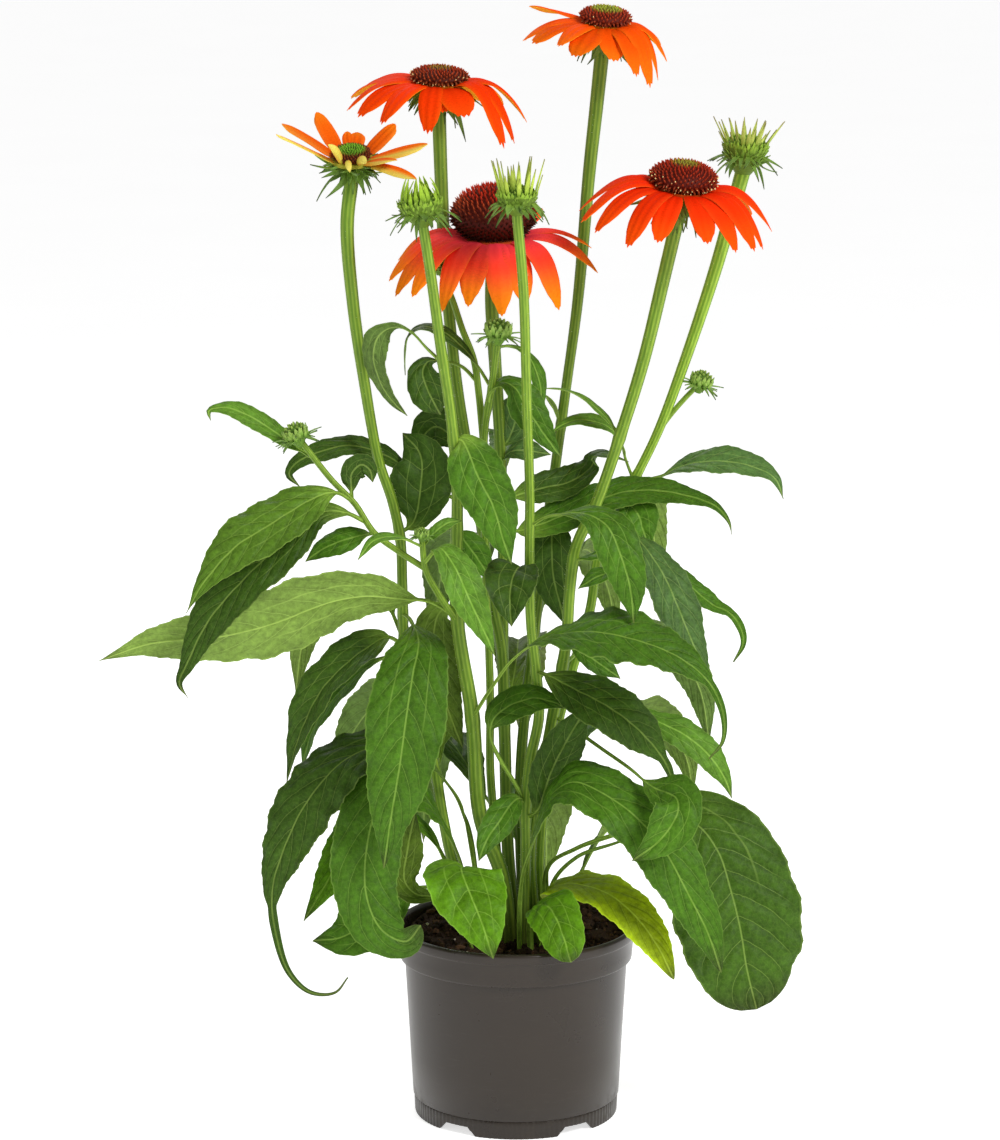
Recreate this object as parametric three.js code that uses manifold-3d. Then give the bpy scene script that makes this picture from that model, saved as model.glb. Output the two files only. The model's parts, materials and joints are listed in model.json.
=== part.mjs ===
// A coneflower in bloom, growing in a plastic nursery pot. Millimetres, +Z up, -Y is the front.
// The origin is the middle of the pot's base. Every leafy stem, root leaf, ring of petals and
// flower cone is one closed solid of its own.
import * as THREE from "three";
import { mergeVertices } from "three/addons/utils/BufferGeometryUtils.js";
import Module from "manifold-3d";

const wasm = await Module();
wasm.setup();

const GAP = 0.3; // clearance between touching pieces

const POT = {
  height: 121,
  rimRadius: 75, // outside of the rolled lip
  lipHeight: 6,
  collarRadius: 73.5,
  collarHeight: 21,
  bodyTopRadius: 69.5,
  bodyFootRadius: 64.5,
  footRadius: 63.5,
  footHeight: 11,
  wall: 1.5,
  floor: 7, // height of the floor's underside
  pad: 13, // radius of the middle pad that reaches the ground
  feet: 5,
  sides: 24,
};
const SOIL = { front: 106, back: 118, mound: 7, rings: 5, sides: 15 };
const STEM_DEPTH = 28; // how far the stems reach below the soil at the crown
const PETIOLE_DEPTH = 22;
const CROWN = 108; // height of the soil at the crown
const BLADE = 0.74; // thickness of a leaf blade
const NARROW = 22.5; // blades under this width have no fold
const PETAL = 0.7; // thickness of a petal
const HUB = 2.6; // height of the disc that holds the petals

const COLOURS = {
  pot: { color: 0x46423f, roughness: 0.45 },
  soil: { color: 0x2b1d14, roughness: 1 },
  stem: { color: 0x6f9a35, roughness: 0.6 },
  leaf: { color: 0x3d6b26, roughness: 0.6 },
  petal: { color: 0xf2561b, roughness: 0.55 },
  cone: { color: 0x6a2413, roughness: 0.75 },
  bud: { color: 0xa7bd45, roughness: 0.6 },
};

const UP = [0, 0, 1];
const FRONT = [0, -1, 0];
const BACK = [0, 1, 0];
const LEFT = [-1, 0, 0];
const RIGHT = [1, 0, 0];
const TILTED = [0, -1, 1]; // up and to the front
const LEANING = [0, -1, 0.4]; // to the front, a little up
const AWAY = [0, 1, 0.8]; // up and to the back

// Each stem has its foot at the soil, the points that it passes through, its radii from foot to
// neck, its leaves (at: the height where a leaf leaves the stem), its side shoots and its head.
const STEMS = {
  // the stem with the round green bud, in front of the others
  button: {
    foot: [-4, -4],
    radii: [4.6, 4.4, 3.3, 3],
    path: [
      [-9, -6, 153], [-22, -8, 190], [-27, -14, 256], [-36, -20, 319], [-36, -30, 402],
      [-39, -36, 443], [-46, -43, 494], [-51, -49, 533],
    ],
    leaves: [
      {
        at: 319,
        path: [
          [-53, -28, 331], [-68, -34, 334], [-92, -40, 337], [-113, -44, 334],
          [-149, -48, 321], [-179, -50, 314], [-221, -52, 310], [-252, -54, 300],
        ],
        width: 46, belly: 0.42, petiole: 0.13, fold: 6, tip: 1.2, face: [[0, 1, 0.45], [0, 1, 0.35]],
      },
      {
        at: 431,
        path: [[-33, -38, 432], [-23, -47, 411], [-14, -52, 394], [-8, -54, 374], [-3, -54, 359]],
        width: 34, belly: 0.36, petiole: 0.05, fold: 6, face: [[0, -1, 0.35], FRONT],
      },
      {
        at: 255,
        path: [
          [-16, -32, 277], [-1, -48, 301], [17, -60, 315], [44, -74, 322], [73, -82, 318],
          [97, -88, 309], [114, -90, 295], [123, -90, 276], [123, -89, 258], [115, -87, 247],
        ],
        width: 46, belly: 0.42, petiole: 0.3, fold: 5, tail: 0.18, face: [UP, [0.3, -1, 0.7]],
      },
      {
        at: 374,
        path: [[-30, -16, 364], [-22, -12, 352], [-16, -9, 341]],
        width: 19, belly: 0.45, petiole: 0.05, fold: 10, face: [TILTED, FRONT],
      },
      {
        at: 326,
        path: [[-47, -12, 321], [-51, -8, 300], [-46, -6, 271], [-38, -6, 247], [-33, -6, 234]],
        width: 30, belly: 0.4, petiole: 0.05, fold: 8, face: [FRONT, FRONT],
      },
      {
        at: 479,
        path: [
          [-53, -34, 487], [-63, -31, 497], [-73, -28, 500], [-82, -26, 495], [-86, -24, 482],
          [-81, -22, 463], [-73, -20, 451], [-66, -19, 444],
        ],
        width: 16, belly: 0.5, petiole: 0.2, fold: 4, face: [UP, [0.8, 1, 0]],
      },
    ],
    shoots: [
      {
        from: 0,
        at: 316,
        radii: [2.2, 1.8],
        path: [[-48, -34, 338], [-55, -46, 355], [-57, -52, 377]],
        bud: { axis: [0, 0, 1], radius: 4 },
        leaves: [
          {
            at: 359,
            path: [
              [-46, -60, 370], [-37, -68, 360], [-28, -74, 341], [-19, -77, 322],
              [-13, -78, 308],
            ],
            width: 23, belly: 0.4, petiole: 0.12, fold: 12, face: [UP, FRONT],
          },
          {
            at: 370,
            path: [[-71, -60, 377], [-85, -66, 376], [-95, -70, 365]],
            width: 9, belly: 0.45, petiole: 0.1, fold: 10, face: [UP, TILTED],
          },
          {
            at: 370,
            path: [[-48, -50, 379], [-41, -46, 383], [-33, -44, 384]],
            width: 9, belly: 0.45, petiole: 0.1, fold: 10, face: [TILTED, TILTED],
          },
        ],
      },
      {
        from: 1,
        at: 355,
        radii: [1.9, 1.8],
        path: [
          [-70, -42, 364], [-86, -36, 375], [-98, -30, 392], [-112, -27, 406],
          [-133, -25, 433],
        ],
        bud: { axis: [-0.4, 0, 1], radius: 7 },
        leaves: [
          {
            at: 393,
            path: [
              [-108, -38, 400], [-119, -44, 399], [-151, -64, 383], [-168, -72, 373],
              [-187, -80, 352], [-197, -82, 335],
            ],
            width: 36, belly: 0.4, petiole: 0.1, fold: 3, tip: 1.5, face: [TILTED, TILTED],
          },
          {
            at: 381,
            path: [
              [-104, -38, 388], [-120, -42, 388], [-136, -50, 376], [-166, -62, 349],
              [-185, -70, 327], [-198, -76, 301], [-202, -77, 291], [-197, -77, 282],
            ],
            width: 33, belly: 0.42, petiole: 0.06, fold: 5, tip: 1.3, face: [TILTED, [-0.3, -1, 0.5]],
          },
          {
            at: 375,
            path: [[-95, -30, 372], [-107, -32, 369], [-118, -33, 364], [-128, -34, 357]],
            width: 17, belly: 0.45, petiole: 0.08, fold: 4, face: [TILTED, TILTED],
          },
          {
            at: 419,
            path: [
              [-134, -18, 425], [-147, -12, 433], [-162, -9, 442], [-177, -7, 447],
              [-187, -7, 445], [-186, -7, 439],
            ],
            width: 14, belly: 0.45, petiole: 0.1, fold: 4, face: [TILTED, TILTED],
          },
          {
            at: 394,
            path: [
              [-100, -26, 402], [-100, -25, 409], [-94, -25, 415], [-89, -25, 412],
              [-87, -25, 404],
            ],
            width: 15, belly: 0.5, petiole: 0.1, fold: 12, face: [FRONT, FRONT],
          },
        ],
      },
    ],
    head: {
      centre: [-57, -52, 575],
      axis: [-0.12, 0, 1],
      radius: 13.6,
      rays: 15,
      rayLength: 15,
      spread: 0.25,
      curl: 0.45,
      cup: 13,
      bracts: { count: 16, length: 8, lift: 0.2, droop: -0.7, breadth: 2 },
    },
  },
  // the half-open flower on the left
  left: {
    foot: [-14, 6],
    radii: [3.4, 3.2, 3, 4.2],
    path: [
      [-18, 6, 117], [-38, 2, 155], [-45, 0, 186], [-52, 0, 228], [-63, 0, 263], [-69, 0, 301],
      [-70, -1, 336], [-71, -2, 364], [-76, -3, 389], [-84, -4, 414], [-93, -7, 467],
      [-99, -9, 513], [-102, -10, 559],
    ],
    leaves: [
      {
        at: 318,
        path: [
          [-64, -30, 319], [-59, -56, 311], [-62, -74, 297], [-66, -84, 272], [-70, -88, 243],
          [-75, -89, 213], [-80, -87, 179],
        ],
        width: 47, belly: 0.42, petiole: 0.18, fold: 4, face: [UP, FRONT],
      },
      {
        at: 297,
        path: [
          [-79, -6, 304], [-91, -12, 299], [-103, -18, 291], [-119, -24, 275],
          [-132, -28, 249], [-141, -30, 218],
        ],
        width: 32, belly: 0.36, petiole: 0.1, fold: 26, face: [[0.2, -0.6, 1], [-1, -0.7, 0.2]],
      },
      {
        at: 291,
        path: [
          [-81, 6, 289], [-93, 4, 282], [-109, 1, 268], [-123, -2, 250], [-130, -4, 232],
          [-132, -5, 220],
        ],
        width: 24, belly: 0.5, petiole: 0.1, fold: 14, face: [UP, [-1, -0.6, 0.2]],
      },
      {
        at: 368,
        path: [[-63, 8, 374], [-59, 13, 393], [-59, 17, 414], [-70, 21, 427]],
        width: 38, belly: 0.5, petiole: 0.08, fold: 10, face: [FRONT, FRONT],
      },
      {
        at: 215,
        path: [[-45, 35, 248], [-78, 68, 252], [-105, 88, 220], [-115, 92, 182]],
        width: 34, belly: 0.42, petiole: 0.12, fold: 14, face: [UP, BACK],
      },
      {
        at: 300,
        path: [[-85, 30, 325], [-110, 62, 322], [-134, 85, 286], [-141, 92, 246]],
        width: 30, belly: 0.42, petiole: 0.12, fold: 14, face: [UP, BACK],
      },
    ],
    head: {
      centre: [-99, -10, 597],
      axis: [0, -0.34, 1],
      radius: 11.4,
      height: 5.5,
      hub: 1.1,
      petalWidth: 12,
      cup: 12,
      bracts: { count: 14, length: 9, lift: 0.2, droop: -0.3 },
      // azimuth, reach, drop, rise and, where it differs, width
      petals: [
        [-70, 47, -19, 34], [-104, 42, -22, 36], [-139, 37, -24, 44], [176, 29, -13, 40],
        [131, 35, -14, 34], [84, 46, -13, 20], [62, 46, 1, 6], [-8, 16, -4, 30, 8.5],
        [27, 21, -6, 34, 10], [53, 33, -9, 26], [-38, 26, -12, 44, 9], [-172, 24, -9, 40, 8],
      ],
    },
  },
  // the tall flower, left of the middle
  tall: {
    foot: [0, 9],
    radii: [3.8, 3.6, 3.2, 4.2],
    path: [
      [-5, 10, 165], [-7, 12, 235], [-9, 13, 292], [-15, 14, 323], [-22, 17, 373],
      [-31, 22, 422], [-38, 30, 468], [-43, 37, 520], [-46, 40, 581],
    ],
    leaves: [
      {
        at: 381,
        path: [
          [-47, 27, 389], [-64, 25, 401], [-81, 16, 414], [-102, 9, 421], [-120, 4, 418],
          [-134, 0, 412], [-139, -2, 405], [-132, -2, 397],
        ],
        width: 16, belly: 0.5, petiole: 0.25, fold: 5, face: [TILTED, TILTED],
      },
      {
        at: 413,
        path: [[-41, 27, 425], [-50, 32, 429], [-57, 35, 423], [-60, 36, 412]],
        width: 24, belly: 0.5, petiole: 0.1, fold: 8, face: [FRONT, FRONT],
      },
      {
        at: 330,
        path: [[-25, 60, 352], [-40, 95, 347], [-50, 125, 305], [-52, 135, 270]],
        width: 32, belly: 0.42, petiole: 0.12, fold: 14, face: [UP, BACK],
      },
      {
        at: 395,
        path: [[-6, 58, 412], [-8, 92, 414], [-9, 118, 380]],
        width: 22, belly: 0.42, petiole: 0.12, fold: 12, face: [UP, BACK],
      },
      {
        at: 180,
        path: [[-22, 24, 200], [-38, 52, 220], [-50, 84, 222], [-58, 112, 182], [-60, 120, 140]],
        width: 36, belly: 0.42, petiole: 0.12, fold: 14, face: [UP, BACK],
      },
    ],
    head: {
      centre: [-47, 40, 638],
      axis: [0.04, -0.12, 1],
      radius: 17.5,
      height: 8.5,
      hub: 0.8,
      petalWidth: 17,
      cup: 12,
      bracts: { count: 8, length: 8, lift: -0.1, droop: -0.5 },
      // azimuth, reach, drop, rise and, where it differs, width
      petals: [
        [-107, 56, 12.8, 15], [-88, 56, 16.6, 19], [-66, 52, 17.3, 17], [-45, 49, 17.7, 14],
        [-124, 55, 8.5, 16], [-12, 35, 22.7, 12, 15], [25, 37, 11.8, 14, 21],
        [61, 47, 32.1, 34, 17.5], [79, 48, 31.7, 30], [100, 55, 22, 24], [128, 50, 17.5, 14],
        [154, 49, 18.1, 10], [178, 50, 19.8, 7], [-156, 50, 18.3, 10], [4, 30, 10.2, 7, 14],
      ],
    },
  },
  // the big flower in the middle
  centre: {
    foot: [-1, 21],
    radii: [3.6, 3.4, 3.2, 4.2],
    path: [
      [-5, 22, 161], [-7, 22, 232], [-8, 21, 290], [-8, 18, 348], [-10, 14, 424],
      [-13, 13, 473], [-15, 14, 510],
    ],
    leaves: [
      {
        at: 367,
        path: [
          [2, 14, 367], [18, 14, 372], [39, 13, 381], [64, 12, 391], [85, 9, 393],
          [107, 4, 390], [122, -1, 385], [130, -4, 376], [132, -5, 368],
        ],
        width: 25, belly: 0.3, petiole: 0.06, fold: 6, tip: 1.2, face: [TILTED, TILTED],
      },
      {
        at: 384,
        path: [
          [2, 18, 389], [18, 20, 393], [33, 22, 396], [46, 22, 405], [50, 20, 413],
          [59, 14, 413], [69, 10, 411],
        ],
        width: 22, belly: 0.4, petiole: 0.08, fold: 12, face: [FRONT, UP],
      },
      {
        at: 418,
        path: [[-5, 12, 424], [0, 16, 436], [5, 18, 448], [10, 18, 455]],
        width: 24, belly: 0.5, petiole: 0.08, fold: 10, face: [FRONT, FRONT],
      },
      {
        at: 410,
        path: [[-3, 5, 418], [5, 3, 419], [14, 1, 418], [21, 0, 417]],
        width: 14, belly: 0.5, petiole: 0.08, fold: 10, face: [TILTED, TILTED],
      },
      {
        at: 240,
        path: [[0, 60, 272], [2, 100, 280], [5, 135, 248], [5, 148, 200]],
        width: 36, belly: 0.42, petiole: 0.12, fold: 14, face: [UP, BACK],
      },
    ],
    head: {
      centre: [-14, 14, 547],
      axis: [0, -0.12, 1],
      radius: 25,
      height: 30,
      hub: 0.8,
      petalWidth: 18,
      cup: 12,
      bracts: { count: 8, length: 8, lift: -0.1, droop: -0.5 },
      // azimuth, reach, drop, rise and, where it differs, width
      petals: [
        [-83, 64, 23.9, 24], [-69, 63, 30.1, 23], [-55, 61, 26.6, 20], [-35, 52, 34.7, 14],
        [-17, 49, 30.2, 12], [5, 47, 36.2, 9], [23, 46, 31.7, 12], [47, 55, 34.3, 18],
        [79, 64, 18.4, 26], [99, 61, 8, 24, 15], [133, 42, -12.7, 33, 11], [158, 55, 21.9, 12],
        [-178, 56, 21.5, 9], [-157, 54, 20.8, 12], [-129, 32, 21.2, 14, 12.5],
        [-102, 60, 16.3, 23, 15],
      ],
    },
  },
  // the bud with upright young rays
  spiky: {
    foot: [5, -7],
    radii: [3.4, 3.2, 2.8, 3],
    path: [
      [6, -8, 169], [6, -10, 202], [9, -12, 229], [14, -14, 256], [12, -17, 287],
      [9, -20, 315], [8, -24, 349], [8, -31, 397], [6, -40, 462], [4, -47, 524],
    ],
    leaves: [
      {
        at: 378,
        path: [
          [17, -36, 385], [26, -44, 388], [41, -54, 390], [54, -62, 384], [63, -70, 365],
          [68, -73, 347], [70, -74, 327],
        ],
        width: 27, belly: 0.5, petiole: 0.2, fold: 6, face: [UP, FRONT],
      },
      {
        at: 345,
        path: [[2, -32, 353], [-3, -48, 347], [-4, -60, 335], [-3, -64, 323]],
        width: 35, belly: 0.42, petiole: 0.1, fold: 24, face: [UP, TILTED],
      },
      {
        at: 285,
        path: [
          [19, -28, 285], [36, -37, 278], [51, -45, 272], [66, -50, 263], [79, -51, 251],
          [89, -50, 238], [94, -48, 227], [95, -46, 215],
        ],
        width: 34, belly: 0.45, petiole: 0.08, fold: 2, tail: 0.14, face: [TILTED, [0, -1, 0.7]],
      },
      {
        at: 200,
        path: [
          [-1, -18, 215], [-10, -23, 231], [-16, -26, 246], [-14, -28, 257], [-6, -29, 265],
          [11, -30, 271], [24, -31, 268], [30, -32, 265],
        ],
        width: 23, belly: 0.45, petiole: 0.5, fold: 3, face: [TILTED, TILTED],
      },
      {
        at: 190,
        path: [[13, -20, 198], [22, -25, 225], [36, -28, 253], [45, -28, 266]],
        width: 27, belly: 0.5, petiole: 0.1, fold: 4, face: [FRONT, FRONT],
      },
      {
        at: 200,
        path: [[2, -18, 205], [-3, -24, 203], [-10, -34, 195], [-18, -42, 185], [-23, -48, 173]],
        width: 20, belly: 0.45, petiole: 0.12, fold: 10, face: [TILTED, FRONT],
      },
    ],
    head: {
      centre: [0, -52, 580],
      axis: [0, 0, 1],
      radius: 12.5,
      rays: 15,
      rayLength: 22,
      spread: 0.32,
      curl: 0,
      cup: 11,
      bracts: { count: 13, length: 9, lift: 0, droop: -0.9, breadth: 2.4 },
    },
  },
  // the highest flower
  top: {
    foot: [6, 16],
    radii: [3.4, 3.2, 3, 4.4],
    path: [
      [3, 18, 162], [3, 20, 214], [7, 24, 264], [14, 28, 320], [20, 32, 370], [25, 35, 408],
      [31, 38, 453], [38, 42, 506], [45, 48, 586], [49, 51, 623],
    ],
    leaves: [
      {
        at: 378,
        path: [[22, 25, 370], [22, 19, 357], [23, 17, 338], [27, 17, 321], [31, 17, 306]],
        width: 27, belly: 0.42, petiole: 0.05, fold: 3, face: [FRONT, FRONT],
      },
      {
        at: 430,
        path: [[22, 34, 443], [17, 32, 449], [12, 31, 447]],
        width: 8, belly: 0.45, petiole: 0.1, fold: 8, face: [UP, UP],
      },
      {
        at: 300,
        path: [[25, 70, 330], [45, 105, 338], [60, 140, 305], [66, 152, 270]],
        width: 32, belly: 0.42, petiole: 0.12, fold: 14, face: [UP, BACK],
      },
    ],
    head: {
      centre: [54, 52, 673],
      axis: [0.09, -0.15, 1],
      radius: 15.5,
      height: 9,
      hub: 0.8,
      petalWidth: 15.5,
      cup: 11,
      bracts: { count: 9, length: 8, lift: -0.1, droop: -0.6 },
      // azimuth, reach, drop, rise and, where it differs, width
      petals: [
        [-94, 49, 13.1, 17], [-113, 50, -4.9, 11, 11], [-72, 46, 10.8, 14], [-48, 40, 8.1, 12],
        [-24, 42, 11.6, 4, 19], [8, 36, 13, 4, 17], [29, 42, 20.8, 12], [51, 39, 29.4, 20],
        [78, 36, 28.6, 25, 13], [97, 40, 18.2, 21], [122, 42, 13.5, 15], [150, 42, 13.3, 10],
        [178, 42, 14.1, 7], [-160, 42, 13.7, 8], [-136, 40, 9.3, 9],
      ],
    },
  },
  // the flower on the right
  right: {
    foot: [13, 1],
    radii: [3.6, 3.4, 3.4, 4.2],
    path: [
      [9, 0, 167], [20, 2, 237], [26, 2, 269], [31, 1, 301], [33, -1, 333], [37, -4, 361],
      [49, -7, 388], [64, -10, 433], [77, -13, 477], [89, -16, 529],
    ],
    leaves: [
      {
        at: 429,
        path: [[58, -4, 436], [49, 2, 445], [33, 6, 455], [17, 8, 457]],
        width: 9, belly: 0.45, petiole: 0.1, fold: 10, face: [UP, UP],
      },
      {
        at: 352,
        path: [[43, -10, 355], [52, -16, 359], [62, -20, 360]],
        width: 15, belly: 0.45, petiole: 0.1, fold: 10, face: [UP, TILTED],
      },
      {
        at: 301,
        path: [[37, -5, 298], [49, -11, 290], [64, -15, 280]],
        width: 16, belly: 0.45, petiole: 0.1, fold: 10, face: [TILTED, TILTED],
      },
      {
        at: 253,
        path: [
          [36, -7, 246], [51, -25, 239], [69, -47, 231], [82, -68, 225], [96, -86, 222],
          [96, -95, 215], [86, -98, 200], [69, -99, 187],
        ],
        width: 30, belly: 0.5, petiole: 0.5, fold: 16, face: [UP, FRONT],
      },
      {
        at: 262,
        path: [
          [52, -8, 271], [85, -24, 256], [103, -30, 248], [117, -34, 237], [127, -36, 223],
          [132, -38, 210],
        ],
        width: 20, belly: 0.5, petiole: 0.35, fold: 3, face: [TILTED, [0.3, -1, 0.6]],
      },
      {
        at: 285,
        path: [[58, 25, 302], [92, 50, 292], [116, 70, 256], [124, 78, 215]],
        width: 30, belly: 0.42, petiole: 0.12, fold: 14, face: [UP, BACK],
      },
    ],
    head: {
      centre: [99, -18, 579],
      axis: [0.105, -0.14, 1],
      radius: 20,
      height: 15.5,
      hub: 0.8,
      petalWidth: 15,
      cup: 12,
      bracts: { count: 8, length: 7, lift: -0.1, droop: -0.5 },
      // azimuth, reach, drop, rise and, where it differs, width
      petals: [
        [-93, 60, 18.3, 38], [-78, 60, 21.1, 30], [-61, 58, 22.9, 21], [-37, 54, 25.8, 12],
        [-17, 49, 20.3, 5], [18, 48, 18.4, 5], [37, 53, 22.9, 12], [55, 55, 23.4, 21],
        [71, 54, 25.4, 30], [92, 57, 19.1, 32], [115, 50, 14.8, 26], [160, 46, 17.9, 11],
        [-175, 46, 18.2, 9], [-150, 47, 17.5, 14], [-117, 52, 15.1, 32],
      ],
    },
  },
  // the opening bud at the far right
  fan: {
    foot: [17, 11],
    radii: [3.2, 3, 2.8, 4.6],
    path: [
      [15, 14, 163], [24, 19, 233], [35, 22, 277], [46, 24, 315], [53, 24, 360], [74, 24, 399],
      [88, 26, 428], [104, 29, 471], [122, 32, 526], [132, 33, 562],
    ],
    leaves: [
      {
        at: 397,
        path: [
          [68, 22, 410], [64, 19, 423], [55, 17, 432], [39, 15, 436], [28, 13, 433],
          [21, 12, 428],
        ],
        width: 12, belly: 0.45, petiole: 0.2, fold: 10, face: [UP, TILTED],
      },
      {
        at: 395,
        path: [
          [89, 20, 400], [101, 14, 407], [114, 8, 411], [131, 2, 412], [147, -4, 409],
          [158, -8, 403], [163, -10, 391],
        ],
        width: 22, belly: 0.5, petiole: 0.15, fold: 12, tip: 1.4, face: [[0, -1, 1.2], [0, -1, 1.5]],
      },
      {
        at: 384,
        path: [[69, 14, 384], [75, 8, 378], [78, 4, 369], [82, 2, 358]],
        width: 24, belly: 0.45, petiole: 0.05, fold: 12, face: [TILTED, FRONT],
      },
      {
        at: 369,
        path: [
          [69, 8, 368], [79, -6, 360], [90, -18, 345], [98, -26, 328], [106, -32, 309],
          [113, -36, 293], [118, -38, 278],
        ],
        width: 29, belly: 0.45, petiole: 0.12, fold: 3, tip: 1.3, face: [UP, [0.3, -1, 0.3]],
      },
      {
        at: 358,
        path: [
          [77, 18, 350], [92, 14, 343], [107, 10, 333], [121, 6, 322], [132, 3, 317],
          [139, 0, 307], [140, 0, 298], [134, 0, 287],
        ],
        width: 18, belly: 0.5, petiole: 0.1, fold: 12, tip: 1.2, tail: 0.2, face: [UP, TILTED],
      },
      {
        at: 340,
        path: [[60, 12, 342], [50, 4, 340], [38, -3, 334]],
        width: 15, belly: 0.45, petiole: 0.1, fold: 10, face: [UP, TILTED],
      },
      {
        at: 200,
        path: [[45, 55, 230], [80, 88, 234], [108, 108, 205], [116, 114, 172]],
        width: 34, belly: 0.42, petiole: 0.12, fold: 14, face: [UP, BACK],
      },
      {
        at: 360,
        path: [[66, 50, 382], [80, 75, 378], [88, 95, 346], [90, 100, 310]],
        width: 24, belly: 0.42, petiole: 0.12, fold: 14, face: [UP, BACK],
      },
    ],
    shoots: [
      {
        from: 0,
        at: 427,
        radii: [1.6, 1.6],
        path: [[96, 28, 438], [105, 30, 448], [114, 31, 457]],
        bud: { axis: [0.3, 0, 1], radius: 6.5 },
        leaves: [
        ],
      },
    ],
    head: {
      centre: [140, 34, 601],
      axis: [0.1, 0, 1],
      radius: 14,
      rays: 16,
      rayLength: 19,
      spread: 0.7,
      curl: 0,
      cup: 16,
      bracts: { count: 15, length: 10, lift: 0.1, droop: -0.4, breadth: 2.2 },
    },
  },
  // the thin stem with a small bud
  small: {
    foot: [-9, 15],
    radii: [2.8, 2.5, 2.2, 2.2],
    path: [
      [-12, 12, 164], [-16, 5, 217], [-16, 1, 263], [-17, -1, 301], [-19, -6, 352],
      [-20, -10, 403], [-19, -14, 437], [-15, -19, 461], [-11, -26, 496],
    ],
    bud: { axis: [0, 0, 1], radius: 7.5 },
    leaves: [
      {
        at: 461,
        path: [
          [-26, -12, 477], [-37, -7, 488], [-46, -5, 494], [-59, -3, 496], [-66, -1, 490],
          [-68, 0, 478], [-68, -1, 466],
        ],
        width: 12, belly: 0.5, petiole: 0.15, fold: 2, face: [UP, LEFT],
      },
      {
        at: 449,
        path: [
          [-15, -22, 460], [-8, -24, 465], [-1, -26, 462], [6, -27, 450], [14, -28, 438],
          [21, -28, 428], [27, -28, 420],
        ],
        width: 22, belly: 0.42, petiole: 0.15, fold: 12, face: [UP, FRONT],
      },
      {
        at: 487,
        path: [[-4, -14, 486], [5, -13, 482], [12, -13, 470], [15, -14, 456], [14, -14, 441]],
        width: 12, belly: 0.5, petiole: 0.1, fold: 3, face: [UP, [1, -1, 0]],
      },
    ],
    shoots: [
      {
        from: 0,
        at: 424,
        radii: [2.2, 1.8],
        path: [[-23, -2, 456], [-26, 4, 475], [-33, 8, 493], [-39, 10, 511], [-47, 12, 530]],
        bud: { axis: [0, 0, 1], radius: 4 },
        leaves: [
          {
            at: 462,
            path: [
              [-34, 5, 471], [-45, 3, 474], [-54, 0, 474], [-57, -4, 468], [-53, -8, 456],
              [-46, -10, 443],
            ],
            width: 24, belly: 0.62, petiole: 0.35, fold: 10, face: [UP, FRONT],
          },
        ],
      },
    ],
  },
};

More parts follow.
